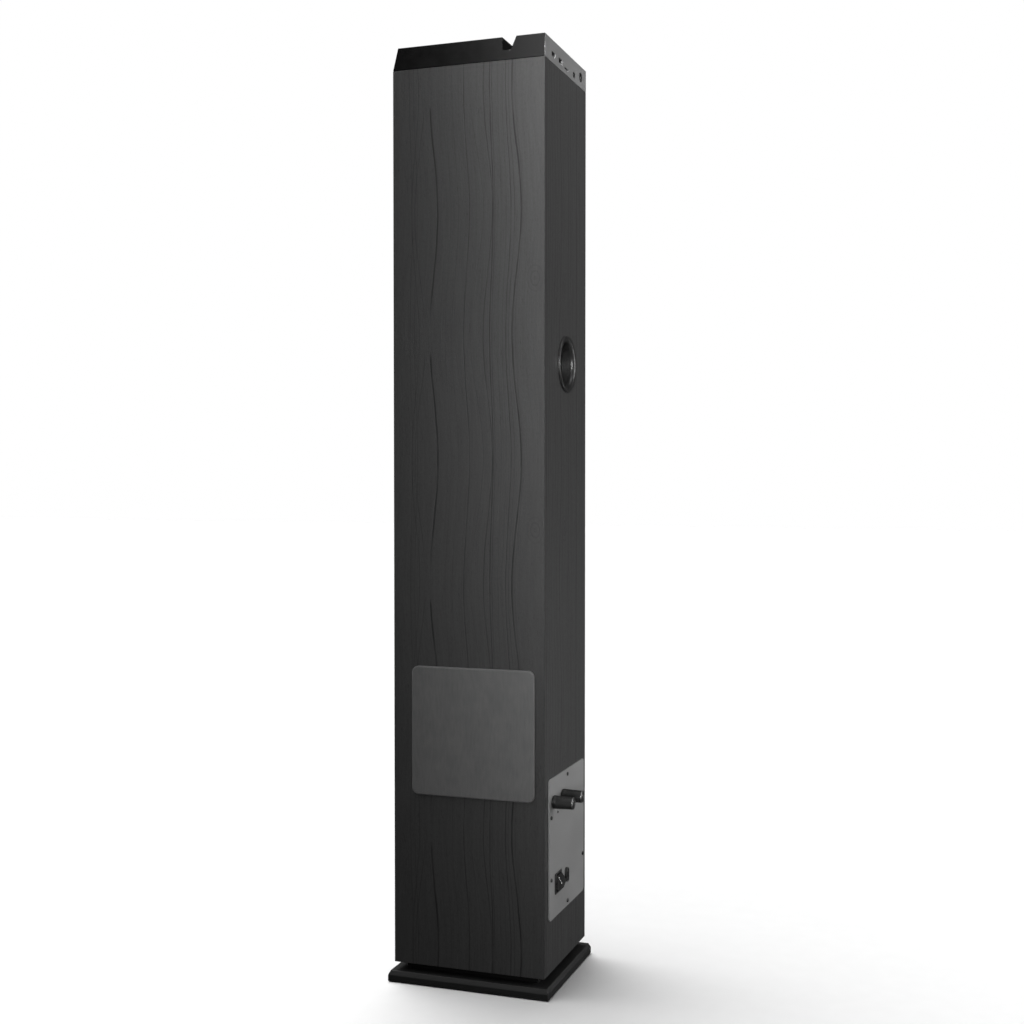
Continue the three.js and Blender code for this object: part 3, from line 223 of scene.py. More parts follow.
def ash_vinyl(name, across, start, direction, lines, knot, tone):
    made, tree, shader = blank(name, shine=0.35)
    place = wire(tree, "TexCoord", {}).outputs["Object"]
    axes = wire(tree, "SeparateXYZ", {0: place})
    from_edge = maths(tree, "SUBTRACT", axes.outputs[across], start)
    column = maths(tree, "MULTIPLY", from_edge, 1000.0 * direction)
    wander = maths(tree, "MULTIPLY_ADD", noise(tree, 26, (1, 1, 0.6), 3.0), 2.4, -1.2)
    column = maths(tree, "ADD", column, wander)
    turns = maths(tree, "DIVIDE", maths(tree, "SUBTRACT", VINYL_TOP, axes.outputs["Z"]), VINYL_REPEAT)
    phase = maths(tree, "FRACT", maths(tree, "SUBTRACT", turns, VINYL_PHASE - 1))
    wave = maths(tree, "COSINE", maths(tree, "MULTIPLY", phase, 2 * pi))
    swell = maths(tree, "MULTIPLY_ADD", wave, -0.5, 0.5)

    total = 0.0
    for place_mm, sway, width, strength, fades in lines:
        centre = maths(tree, "MULTIPLY_ADD", swell, sway, place_mm)
        apart = maths(tree, "ABSOLUTE", maths(tree, "SUBTRACT", column, centre))
        dark = spread(tree, apart, 0.15 * width, 0.9 * width, min(1.25 * strength, 0.9), 0.0)
        if fades:
            dark = maths(tree, "MULTIPLY", dark, spread(tree, phase, 0.06, 0.10, 0.0, 1.0))
            dark = maths(tree, "MULTIPLY", dark, spread(tree, phase, 0.80, 0.98, 1.0, 0.0))
        total = maths(tree, "ADD", dark, total)
    broken = spread(tree, noise(tree, 240, (1, 1, 0.12)), 0.3, 0.62, 0.55, 1.0)
    total = maths(tree, "MULTIPLY", total, broken)

    sideways = maths(tree, "DIVIDE", maths(tree, "SUBTRACT", column, knot), 7.0)
    lengthways = maths(tree, "MULTIPLY", maths(tree, "SUBTRACT", phase, KNOT_PHASE), VINYL_REPEAT * 1000 / 11)
    squares = maths(tree, "ADD", maths(tree, "POWER", sideways, 2.0), maths(tree, "POWER", lengthways, 2.0))
    out = maths(tree, "SQRT", squares)
    ripple = maths(tree, "SINE", maths(tree, "MULTIPLY", out, 11.0))
    ripple = maths(
        tree, "MULTIPLY", spread(tree, ripple, 0.1, 1.0, 0.0, 0.22), spread(tree, out, 0.5, 2.2, 1.0, 0.0)
    )
    total = maths(tree, "MINIMUM", maths(tree, "ADD", total, ripple), 0.85)

    drift = maths(tree, "MULTIPLY", maths(tree, "MULTIPLY_ADD", swell, -7.0, column), 0.001)
    along = wire(tree, "CombineXYZ", {0: drift, 2: axes.outputs["Z"]}).outputs[0]
    light = 0.20
    for scale, stretch, detail, share in (
        (560, 0.045, 3.0, 0.42), (170, 0.07, 3.0, 0.40), (420, 0.6, 3.0, 0.36), (1100, 0.5, 2.0, 0.38)
    ):
        flowing = wire(tree, "Mapping", {"Vector": along, "Scale": (1, 1, stretch)}).outputs[0]
        flecks = wire(tree, "TexNoise", {"Vector": flowing, "Scale": scale, "Detail": detail}).outputs[0]
        light = maths(tree, "MULTIPLY_ADD", flecks, share, light)
    pores = spread(tree, noise(tree, 1300, (1, 1, 0.09)), 0.60, 0.72, 0.0, 0.34)
    light = maths(tree, "SUBTRACT", light, pores)
    light = maths(tree, "MULTIPLY", light, maths(tree, "SUBTRACT", 1.0, total))
    tree.links.new(maths(tree, "MULTIPLY", light, tone), shader.inputs["Base Color"])
    dull = spread(tree, light, 0.3, 1.2, 0.56, 0.42)
    tree.links.new(dull, shader.inputs["Roughness"])
    grained(tree, shader, light, 0.00022, 0.55)
    return made


# Each line of the print: place from the panel's edge, sway, width in mm, strength, and if it fades
SIDE_LINES = [
    (20, 3, 0.9, 0.22, False), (25, 4, 0.9, 0.22, False), (31, -9, 0.9, 0.26, False),
    (44, 9.5, 1.7, 0.72, True), (38, -12, 1.0, 0.28, True), (62, 7, 0.8, 0.14, False),
    (70, 8, 0.8, 0.16, False), (84, 7, 1.1, 0.46, False), (92, 15, 0.8, 0.20, True),
    (107, 10.5, 1.2, 0.42, False), (114.5, 4, 1.3, 0.52, False), (117, 3.5, 0.9, 0.30, False),
    (124, 4, 0.8, 0.18, False), (129, 5, 0.8, 0.18, False), (133, 6.5, 1.1, 0.48, False),
    (136.2, 7.5, 0.8, 0.30, False), (140.3, 11, 1.6, 0.76, False), (144, 9, 0.8, 0.16, False),
]
BACK_LINES = [
    (4, 2, 1.6, 0.62, False), (9, 4, 1.0, 0.42, False), (15, 5, 1.0, 0.40, False),
    (24, 5, 1.0, 0.30, False), (33, 6, 1.0, 0.34, False), (42, 6, 1.0, 0.26, False),
    (53, 8, 1.3, 0.42, False), (64, 4, 0.9, 0.18, False), (86, 1, 1.1, 0.40, False),
    (94, 1, 1.0, 0.30, False), (101, 0, 1.0, 0.30, False), (118, 0, 1.6, 0.44, False),
    (130, 0, 1.0, 0.20, False), (147, 2, 1.3, 0.34, False),
]
side_low, side_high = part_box("side_panel_right")
side_vinyl = ash_vinyl("black_ash_vinyl_side", "Y", side_low.y, 1, SIDE_LINES, 167, 0.034)
far_vinyl = ash_vinyl("black_ash_vinyl_far_side", "Y", side_high.y, -1, SIDE_LINES, 167, 0.034)
back_vinyl = ash_vinyl("black_ash_vinyl_back", "X", side_high.x, -1, BACK_LINES, 72, 0.030)
PANEL_LONGEST_HOLE_EDGE = 0.03
for node, vinyl, width in (
    ("side_panel_left", far_vinyl, 0.0004),
    ("side_panel_right", side_vinyl, 0.0004),
    ("back_panel", back_vinyl, 0.0003),
    ("top_board", vinyl_level, 0.0006),
    ("bottom_board", vinyl_level, 0.0006),
):
    shape = eased(node, width, PANEL_LONGEST_HOLE_EDGE)
    finished(node + "_wrapped", shape, vinyl, "cabinet", node, slot="wood_vinyl", crease=25)


# ---------------------------------------------------------------- Baffle and braces
# The baffle is a painted board, stepped for the driver flanges, set back behind the front grille.
# Two raw fibreboard frames stiffen the column inside; they stay as they were cut.
def repaint(node, material):
    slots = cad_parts[node].data.materials
    slots.clear()
    slots.append(material)


baffle_paint = surface("baffle_satin_black", grey(0.008), grey(0.016), 0.55, grit=1500, depth=0.00005)
raw_board = surface("raw_fibreboard", (0.24, 0.165, 0.10), (0.36, 0.26, 0.16), 0.85, grit=900, depth=0.0002)
repaint("front_baffle", baffle_paint)
repaint("brace_lower", raw_board)
repaint("brace_upper", raw_board)


# ---------------------------------------------------------------- Reflex port
# One moulding: a flat flange with a rolled rim, a flared mouth and a straight tube. It is pushed
# in from behind and glued. Fine-textured black plastic, with a smoother, glossier flare.
def curve(centre_radius, centre_along, radius, first, last, steps=8):
    """Points on an arc, as (radius, distance along the axis), between two angles in degrees."""
    turns = [radians(first + (last - first) * i / steps) for i in range(steps + 1)]
    return [(centre_radius + radius * cos(a), centre_along + radius * sin(a)) for a in turns]


port_low, port_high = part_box("port_tube")
PORT_FLANGE = 0.0315
PORT_THROAT = 0.0245
PORT_TUBE_WALL = 0.003
PORT_FLANGE_THICK = 0.0026
PORT_RIM_ROUND = 0.0009
PORT_FLARE = 0.0050
length = port_high.y - port_low.y
port_points = [
    (PORT_THROAT + PORT_TUBE_WALL, 0),
    (PORT_THROAT + PORT_TUBE_WALL, length - PORT_FLANGE_THICK),
    (PORT_FLANGE, length - PORT_FLANGE_THICK),
    *curve(PORT_FLANGE - PORT_RIM_ROUND, length - PORT_RIM_ROUND, PORT_RIM_ROUND, 0, 90, 5),
    *curve(PORT_THROAT + PORT_FLARE, length - PORT_FLARE, PORT_FLARE, 90, 180, 12),
    (PORT_THROAT, 0),
]
port_axis_start = Vector((0, port_low.y, middle("port_tube").z))
port_plastic = surface("port_black_plastic", grey(0.008), grey(0.014), 0.36, grit=2600, depth=0.00002)
finished(
    "port_moulding", turned(port_points, port_axis_start, (0, 1, 0), 96, closed=True), port_plastic,
    "cabinet", "port_tube", slot="black_plastic",
)


# ---------------------------------------------------------------- Cone drivers
# Each driver is a pressed steel basket on six spokes, a half-roll rubber surround, a coated paper
# cone with its dust cap, and a ferrite magnet between two steel plates.
basket_paint = surface("basket_black_paint", grey(0.012), grey(0.024), 0.42, shine=0.5, grit=1800)
rubber_roll = surface("surround_rubber", grey(0.006), grey(0.012), 0.62, grit=2600, depth=0.00003)
cone_paper = surface("coated_cone_paper", grey(0.012), grey(0.026), 0.68, grit=1100, depth=0.0001)
plated_steel = surface("zinc_plated_steel", grey(0.30), grey(0.46), 0.34, metal=1.0, grit=900, depth=0.00002)
ferrite = surface("ferrite_ring", grey(0.020), grey(0.034), 0.75, grit=1400, depth=0.0001)
SEAT = 0.0003
ROLL_THICK = 0.0007
PAPER_THICK = 0.0009


def block_between(shape, low, high):
    size = [high[i] - low[i] for i in range(3)]
    centre = [(high[i] + low[i]) / 2 for i in range(3)]
    spot = Matrix.Translation(centre) @ Matrix.Diagonal((*size, 1))
    return bmesh.ops.create_cube(shape, size=1.0, matrix=spot)["verts"]


def merge(shape, other):
    """Moves another bmesh into this one."""
    loose = bpy.data.meshes.new("loose")
    other.to_mesh(loose)
    other.free()
    shape.from_mesh(loose)
    bpy.data.meshes.remove(loose)


def driver(
    name, place, facing, flange, body, lip, lip_wide, roll_wide, roll_high, cone_deep, coil, cap, cap_high,
    basket_deep, flange_thick, magnet, magnet_high, moving,
):
    """All the pieces of one driver, from its sizes in metres; the flange's face is at place."""
    ledge = ROLL_THICK + 2 * SEAT
    lip_in = lip - lip_wide
    cone_out = lip_in - roll_wide - SEAT
    neck = magnet * 0.8
    ring_points = [
        (lip + SEAT, 0), (lip + SEAT, -ledge), (lip_in, -ledge), (lip_in, -ledge - 0.0016),
        (body - 0.0016, -ledge - 0.0016), (body - 0.0016, -0.009), (body, -0.009), (body, -flange_thick),
        (flange, -flange_thick), (flange, 0),
    ]
    basket = turned(ring_points, place, facing, 96, 0.0004, closed=True)
    back_points = [
        (coil + 0.0035, -basket_deep), (neck, -basket_deep), (neck, -basket_deep + 0.0018),
        (coil + 0.0035, -basket_deep + 0.0018),
    ]
    back_plate = turned(back_points, place, facing, 64, 0.0003, closed=True)
    merge(basket, back_plate)
    across = Vector((0, 0, 1)).cross(Vector(facing)).normalized()
    up = Vector((0, 0, 1))
    for i in range(6):
        turn = Matrix.Rotation(i * pi / 3, 4, Vector(facing))
        outer = Vector(place) + turn @ (across * (body - 0.0009)) + Vector(facing) * -0.0085
        inner = Vector(place) + turn @ (across * (neck - 0.001)) + Vector(facing) * (-basket_deep + 0.0009)
        run = inner - outer
        side = (turn @ up).normalized()
        deep = run.cross(side).normalized()
        axes = Matrix((run.normalized(), side, deep)).transposed().to_4x4()
        size = Matrix.Diagonal((run.length, 0.011, 0.0016, 1))
        spoke = bmesh.ops.create_cube(
            basket, size=1.0, matrix=Matrix.Translation((outer + inner) / 2) @ axes @ size
        )
        edges = {edge for vert in spoke["verts"] for edge in vert.link_edges}
        bmesh.ops.bevel(
            basket, geom=list(edges), offset=0.0004, affect="EDGES", segments=2, profile=0.5, material=-1
        )
    finished(name + "_basket_pressed", basket, basket_paint, "cabinet", name + "_basket", slot="cast_frame")

    seat = -ledge + SEAT
    top = seat + ROLL_THICK
    roll = roll_wide / 2
    roll_mid = lip_in - roll
    rise = roll_high / roll
    upper = [(r, top + (h - top) * rise) for r, h in curve(roll_mid, top, roll, 0, 180, 14)]
    under = [(r, seat + (h - seat) * rise) for r, h in curve(roll_mid, seat, roll - ROLL_THICK, 180, 0, 14)]
    surround_points = [(lip, seat), (lip, top), *upper, *under]
    surround = turned(surround_points, place, facing, 96, closed=True)
    finished(
        name + "_surround_roll", surround, rubber_roll, "cabinet", name + "_surround",
        slot="surround_rubber",
    )

    coil_end = -basket_deep - SEAT - 0.003
    steps = 10
    front, rear = [], []
    for i in range(steps + 1):
        t = i / steps
        along = top + (-cone_deep - top) * (t - 0.22 * t * (1 - t))
        radius = cone_out + (coil - cone_out) * t
        front.append((radius, along))
        rear.append((max(radius, coil + 0.0007), along - PAPER_THICK))
    cap_seat = -cone_deep + (cap - coil) * (top + cone_deep) / (cone_out - coil)
    if name == "woofer":
        cone_points = [(coil, coil_end), *reversed(front), *rear, (coil + 0.0007, coil_end)]
        cone = turned(cone_points, place, facing, 96, closed=True)
        rim = cap_seat + SEAT + PAPER_THICK
        dome = [(r * cap, rim + h * cap_high) for r, h in curve(0, 0, 1, 0, 90, 14)]
        hollow = [
            (r * (cap - PAPER_THICK), rim + h * (cap_high - PAPER_THICK)) for r,
            h in curve(0, 0, 1, 90, 0, 14)
        ]
        dust_cap = turned([*dome, *hollow], place, facing, 96, closed=True)
        finished(name + "_dust_cap_pressed", dust_cap, cone_paper, moving, "woofer_dust_cap", slot="cone_paper")
    else:
        dome = [(r * cap, cap_seat + h * cap_high) for r, h in curve(0, 0, 1, 90, 0, 12)]
        hollow = [(r * coil, cap_seat - PAPER_THICK + h * cap_high) for r, h in curve(0, 0, 1, 0, 90, 12)]
        outside = [point for point in reversed(front) if point[0] > cap + 0.0004]
        cone_points = [*dome, *outside, *rear, (coil + 0.0007, coil_end), (coil, coil_end), *hollow]
        cone = turned(cone_points, place, facing, 96)
    finished(name + "_cone_pressed", cone, cone_paper, moving, name + "_cone", slot="cone_paper")

    face = -basket_deep - SEAT
    plate = 0.0045
    gap_in, gap_out = coil - 0.0008, coil + 0.0015
    floor_of_gap = coil_end - 0.005
    steel_points = [
        (0, face - magnet_high), (magnet * 0.96, face - magnet_high),
        (magnet * 0.96, face - magnet_high + plate),
        (magnet * 0.5, face - magnet_high + plate), (magnet * 0.5, face - plate),
        (magnet * 0.96, face - plate),
        (magnet * 0.96, face), (gap_out, face), (gap_out, floor_of_gap), (gap_in, floor_of_gap),
        (gap_in, face),
        (0, face),
    ]
    motor = turned(steel_points, place, facing, 64, 0.0003)
    finished(name + "_motor_steel", motor, plated_steel, "cabinet", name + "_magnet", slot="magnet_steel")
    ring_low, ring_high = face - magnet_high + plate + 0.0001, face - plate - 0.0001
    ferrite_points = [
        (magnet * 0.52, ring_low), (magnet, ring_low), (magnet, ring_high), (magnet * 0.52, ring_high),
    ]
    finished(name + "_ferrite_ring", turned(ferrite_points, place, facing, 64, 0.0008, closed=True), ferrite,
             "cabinet", slot="magnet_steel")

    head_ring = (flange + body) / 2
    heads = bmesh.new()
    for i in range(6):
        turn = Matrix.Rotation((i + 0.5) * pi / 3, 4, Vector(facing))
        spot = Vector(place) + turn @ (across * head_ring)
        head = turned([(0, -0.002), (0.0008, -0.002), (0.0008, 0.00005), (0.0026, 0.00005), (0.0023, 0.0007),
                       (0.0014, 0.0011), (0, 0.0012)], spot, facing, 20)
        merge(heads, head)
    finished(name + "_screw_heads", heads, basket_paint, "cabinet", slot="cast_frame")


woofer_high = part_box("woofer_basket")[1]
woofer_place = (woofer_high.x, middle("woofer_basket").y, middle("woofer_basket").z)
driver(
    "woofer", woofer_place, (1, 0, 0), flange=0.066, body=0.0585, lip=0.0565, lip_wide=0.004, roll_wide=0.010,
    roll_high=0.004, cone_deep=0.024, coil=0.016, cap=0.022, cap_high=0.007, basket_deep=0.038,
    flange_thick=0.0035, magnet=0.042, magnet_high=0.022, moving="woofer_cone",
)
for name in ("upper_mid", "lower_mid"):
    mid_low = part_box(name + "_basket")[0]
    mid_place = (0, mid_low.y, middle(name + "_basket").z)
    driver(
        name, mid_place, (0, -1, 0), flange=0.051, body=0.0435, lip=0.042, lip_wide=0.0025, roll_wide=0.007,
        roll_high=0.0028, cone_deep=0.015, coil=0.010, cap=0.014, cap_high=0.005, basket_deep=0.024,
        flange_thick=0.003, magnet=0.030, magnet_high=0.014, moving=name + "_cone",
    )


# ---------------------------------------------------------------- Tweeter
# A moulded faceplate with a shallow horn round a coated silk dome, which moves on its own voice
# coil, and a small neodymium motor in a steel pot behind.
TWEETER_FACE = 0.027
TWEETER_BODY = 0.0205
TWEETER_HORN = 0.022
TWEETER_DOME = 0.0125
TWEETER_RIM = 0.001
faceplate_low, faceplate_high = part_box("tweeter_faceplate")
tweeter_place = (0, faceplate_low.y, middle("tweeter_faceplate").z)
tweeter_deep = faceplate_high.y - faceplate_low.y
tweeter_throat = TWEETER_DOME + TWEETER_RIM + 0.0007
horn = [
    (TWEETER_HORN - (TWEETER_HORN - tweeter_throat) * t, -0.004 * t ** 1.7) for t in (0, 0.2, 0.4, 0.6, 0.8, 1)
]
faceplate_points = [
    (tweeter_throat, -tweeter_deep), (TWEETER_BODY, -tweeter_deep), (TWEETER_BODY, -0.003),
    (TWEETER_FACE, -0.003),
    (TWEETER_FACE, 0), *horn,
]
finished(
    "tweeter_faceplate_moulded", turned(faceplate_points, tweeter_place, (0, -1, 0), 96, 0.0003, closed=True),
    port_plastic, "cabinet", "tweeter_faceplate", slot="black_plastic",
)
silk = surface("coated_silk_dome", grey(0.010), grey(0.020), 0.5, grit=3200, depth=0.00005)
silk_rim = -0.005
dome_out = [(r * TWEETER_DOME, silk_rim + h * 0.0045) for r, h in curve(0, 0, 1, 90, 0, 14)]
dome_in = [(r * (TWEETER_DOME - 0.0006), silk_rim + h * 0.0039) for r, h in curve(0, 0, 1, 0, 90, 14)]
dome_points = [
    *dome_out, (TWEETER_DOME + TWEETER_RIM, silk_rim), (TWEETER_DOME + TWEETER_RIM, silk_rim - 0.0006),
    (TWEETER_DOME, silk_rim - 0.0006), (TWEETER_DOME, silk_rim - 0.006),
    (TWEETER_DOME - 0.0006, silk_rim - 0.006),
    *dome_in,
]
finished(
    "tweeter_dome_silk", turned(dome_points, tweeter_place, (0, -1, 0), 96), silk, "tweeter_dome",
    "tweeter_dome",
    slot="dome_silk",
)
pot_face = -tweeter_deep - SEAT
pot_points = [
    (0, pot_face - 0.016), (0.0195, pot_face - 0.016), (0.0195, pot_face), (TWEETER_DOME + 0.0008, pot_face),
    (TWEETER_DOME + 0.0008, pot_face - 0.006), (TWEETER_DOME - 0.0014, pot_face - 0.006),
    (TWEETER_DOME - 0.0014, pot_face), (0, pot_face),
]
finished(
    "tweeter_motor_pot", turned(pot_points, tweeter_place, (0, -1, 0), 64, 0.0004), plated_steel, "cabinet",
    "tweeter_magnet", slot="magnet_steel",
)


# ---------------------------------------------------------------- Grilles
# A moulded frame with push-in pegs carries dark acoustic cloth, stretched over the front and glued
# round the edges. One square grille covers the woofer, and one long grille covers the front.
GRILLE_CLOTH_THICK = 0.0005
GRILLE_EDGE_ROUND = 0.0016
WEAVE = 0.0009


def grille_cloth(name, u_axis, low, high, shade):
    made, tree, shader = blank(name, shine=0.25)
    place = wire(tree, "TexCoord", {}).outputs["Object"]
    axes = wire(tree, "SeparateXYZ", {0: place})
    warp = maths(tree, "SINE", maths(tree, "MULTIPLY", axes.outputs[u_axis], pi / WEAVE))
    weft = maths(tree, "SINE", maths(tree, "MULTIPLY", axes.outputs["Z"], pi / WEAVE))
    crossing = maths(tree, "MULTIPLY_ADD", maths(tree, "MULTIPLY", warp, weft), 0.5, 0.5)
    cloudy = noise(tree, 55, detail=4.0)
    slub = noise(tree, 500, (1, 1, 0.15))
    mixed = maths(tree, "ADD", maths(tree, "MULTIPLY", crossing, 0.3), maths(tree, "MULTIPLY", slub, 0.35))
    mixed = maths(tree, "ADD", mixed, maths(tree, "MULTIPLY", cloudy, 0.35))
    coloured(tree, shader, spread(tree, mixed, 0.2, 0.8, 0.0, 1.0), low, high)
    shader.inputs["Roughness"].default_value = 0.92
    shader.inputs["Sheen Weight"].default_value = shade
    shader.inputs["Sheen Roughness"].default_value = 0.5
    grained(tree, shader, crossing, 0.0002, 0.6)
    return made


def stretched_cloth(name, node, outward, back, corner, material, body):
    """The cloth over one grille: a flat face with a rolled edge and sides that reach back."""
    low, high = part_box(node)
    low, high = Vector(low), Vector(high)
    shape = bmesh.new()
    for i in range(3):
        if abs(outward[i]) < 0.5:
            low[i] -= GRILLE_CLOTH_THICK
            high[i] += GRILLE_CLOTH_THICK
        elif outward[i] > 0:
            low[i] = back
        else:
            high[i] = back
    block_between(shape, low, high)
    thin = max(range(3), key=lambda i: abs(outward[i]))
    corners = [
        edge for edge in shape.edges
        if abs((edge.verts[0].co - edge.verts[1].co)[thin]) > 0.5 * (high[thin] - low[thin])
    ]
    bmesh.ops.bevel(shape, geom=corners, offset=corner, affect="EDGES", segments=10, profile=0.5, material=-1)
    behind = [face for face in shape.faces if face.normal.dot(Vector(outward)) < -0.9]
    bmesh.ops.delete(shape, geom=behind, context="FACES_ONLY")
    face = max(shape.faces, key=lambda f: f.calc_area() * (f.normal.dot(Vector(outward)) > 0.9))
    bmesh.ops.bevel(
        shape, geom=list(face.edges), offset=GRILLE_EDGE_ROUND, affect="EDGES", segments=5, profile=0.5,
        material=-1,
    )
    made = finished(name, shape, material, body, node, slot="grille_cloth", crease=60)
    made.modifiers.new("cloth_thickness", "SOLIDIFY").thickness = GRILLE_CLOTH_THICK
    return made


side_cloth = grille_cloth("side_acoustic_cloth", "Y", grey(0.082), grey(0.118), 0.15)
front_cloth = grille_cloth("front_acoustic_cloth", "X", grey(0.050), grey(0.075), 0.15)
side_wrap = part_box("side_panel_right")[1].x + 0.0004
side_sheet = stretched_cloth(
    "side_grille_cloth_stretched", "side_grille_cloth", (1, 0, 0), side_wrap, 0.0075, side_cloth,
    "side_grille"
)
finished(
    "side_grille_frame_moulded", eased("side_grille_frame", 0.0003, 0.01), port_plastic, "side_grille",
    "side_grille_frame", slot="black_plastic",
)
front_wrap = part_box("front_baffle")[0].y - 0.0006
front_sheet = stretched_cloth(
    "front_grille_cloth_stretched", "front_grille_cloth", (0, -1, 0), front_wrap, 0.0045, front_cloth,
    "front_grille",
)
finished(
    "front_grille_frame_moulded", eased("front_grille_frame", 0.0003, 0.01), port_plastic, "front_grille",
    "front_grille_frame", slot="black_plastic",
)


# ---------------------------------------------------------------- Amplifier plate and screws
# A folded-edge aluminium plate in satin grey paint closes the back of the amplifier. Six black
# cross-head screws hold it over the cut-out in the back panel.
AMP_CORNER = 0.005
CROSS_SEGMENTS = 40


def rounded(low_u, low_v, high_u, high_v, radius, steps=8):
    """The corner points of a rounded rectangle, anticlockwise."""
    points = []
    for u, v, start in (
        (high_u - radius, high_v - radius, 0), (low_u + radius, high_v - radius, 90),
        (low_u + radius, low_v + radius, 180), (high_u - radius, low_v + radius, 270),
    ):
        turns = [radians(start + 90 * i / steps) for i in range(steps + 1)]
        points += [(u + radius * cos(a), v + radius * sin(a)) for a in turns]
    return points


def thicken(shape, faces, by):
    """Pushes flat faces out into a solid."""
    grown = bmesh.ops.extrude_face_region(shape, geom=faces)
    moved = [item for item in grown["geom"] if isinstance(item, bmesh.types.BMVert)]
    bmesh.ops.translate(shape, verts=moved, vec=by)
    bmesh.ops.recalc_face_normals(shape, faces=shape.faces)


def slab(points, by):
    """A solid grown from a flat outline."""
    shape = bmesh.new()
    thicken(shape, [shape.faces.new([shape.verts.new(point) for point in points])], by)
    return shape


def pierced(outline, holes, back, front, ease):
    """A flat plate facing +Y with holes through it, its rims eased."""
    shape = bmesh.new()
    for loop in [outline, *holes]:
        verts = [shape.verts.new((u, back, v)) for u, v in loop]
        for pair in zip(verts, verts[1:] + verts[:1]):
            shape.edges.new(pair)
    bmesh.ops.triangle_fill(shape, edges=shape.edges[:], use_beauty=True, use_dissolve=False)
    thicken(shape, shape.faces[:], (0, front - back, 0))
    bmesh.ops.dissolve_limit(shape, angle_limit=radians(0.5), verts=shape.verts, edges=shape.edges)
    soften(shape, ease, 2, 50)
    return shape


def circle(u, v, radius, steps=40):
    return [
        (u + radius * cos(2 * pi * i / steps), v + radius * sin(2 * pi * i / steps)) for i in range(steps)
    ]


def satin_paint(name, low, high, rough, shine):
    made, tree, shader = blank(name, shine=shine)
    brushed = noise(tree, 900, (0.03, 1, 1), 3.0)
    cloudy = noise(tree, 30, (0.5, 1, 1), 3.0)
    grit = noise(tree, 3200)
    mixed = maths(tree, "ADD", maths(tree, "MULTIPLY", brushed, 0.5), maths(tree, "MULTIPLY", cloudy, 0.5))
    coloured(tree, shader, spread(tree, mixed, 0.3, 0.7, 0.0, 1.0), low, high)
    tree.links.new(spread(tree, mixed, 0.3, 0.7, rough - 0.05, rough + 0.05), shader.inputs["Roughness"])
    grained(tree, shader, maths(tree, "ADD", grit, brushed), 0.00003, 0.35)
    return made


plate_paint = satin_paint("amp_plate_satin_grey", grey(0.185), grey(0.222), 0.42, 0.45)
plate_low, plate_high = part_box("amp_plate")
bass = middle("bass_knob")
treble = middle("treble_knob")
housing_low, housing_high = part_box("power_switch_housing")
inlet_mid = middle("mains_inlet")
INLET_HALF_WIDE, INLET_HALF_HIGH, INLET_CORNER = 0.0045, 0.008, 0.004
LED_BELOW_KNOBS = 0.015
led_spot = ((bass.x + treble.x) / 2, bass.z - LED_BELOW_KNOBS)
holes = [
    circle(bass.x, bass.z, 0.0037), circle(treble.x, treble.z, 0.0037), circle(*led_spot, 0.0016, 24),
    rounded(housing_low.x + 0.0007, housing_low.z + 0.0007, housing_high.x - 0.0007, housing_high.z - 0.0007,
            0.0008, 3),
    rounded(inlet_mid.x - INLET_HALF_WIDE - 0.0003, inlet_mid.z - INLET_HALF_HIGH - 0.0003,
            inlet_mid.x + INLET_HALF_WIDE + 0.0003, inlet_mid.z + INLET_HALF_HIGH + 0.0003, INLET_CORNER, 8),
]
for i in range(1, 7):
    screw = middle("amp_screw_%d" % i)
    holes.append(circle(screw.x, screw.z, 0.0018, 20))
plate_outline = rounded(plate_low.x, plate_low.z, plate_high.x, plate_high.z, AMP_CORNER, 10)
finished(
    "amp_plate_painted", pierced(plate_outline, holes, plate_low.y, plate_high.y, 0.0003), plate_paint,
    "cabinet",
    "amp_plate", slot="plate_paint", crease=40,
)

screw_zinc = surface("screw_black_zinc", grey(0.035), grey(0.07), 0.36, metal=1.0, grit=2400, depth=0.00002)
for i in range(1, 7):
    low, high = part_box("amp_screw_%d" % i)
    spot = Vector((middle("amp_screw_%d" % i).x, high.y, middle("amp_screw_%d" % i).z))
    head = 0.0012
    points = [
        (0, low.y - high.y), (0.0015, low.y - high.y + 0.0015), (0.0015, -head), (0.0022, -head),
        (0.0022, -head + 0.0003), (0.0020, -0.0004), (0.0017, -0.0001), (0.0013, 0), (0.0012, -0.00001),
        (0.0010, -0.0008), (0, -0.0009),
    ]
    shape = turned(points, spot, (0, 1, 0), CROSS_SEGMENTS)
    for vert in shape.verts:
        out = vert.co - spot
        radius = (out.x ** 2 + out.z ** 2) ** 0.5
        if 0.0008 < radius < 0.00125 and out.y > -0.0009:
            turn = round(atan2(out.z, out.x) / (2 * pi) * CROSS_SEGMENTS) % 10
            if turn not in (0, 1, 9):
                shrink = 0.36 if turn in (3, 4, 5, 6, 7) else 0.62
                vert.co = spot + Vector((out.x * shrink, out.y, out.z * shrink))
    finished("amp_screw_head_%d" % i, shape, screw_zinc, "cabinet", "amp_screw_%d" % i, slot="screw_steel")

lens_clear = surface("status_lens_smoked", grey(0.03), grey(0.05), 0.15, shine=0.6, grit=900)
lens_points = [
    (0, -0.004), (0.0015, -0.004), (0.0015, 0.0001), (0.0012, 0.0006), (0.0006, 0.0009), (0, 0.001)
]
lens = turned(lens_points, (led_spot[0], plate_high.y, led_spot[1]), (0, 1, 0), 32)
finished("status_lens", lens, lens_clear, "cabinet")


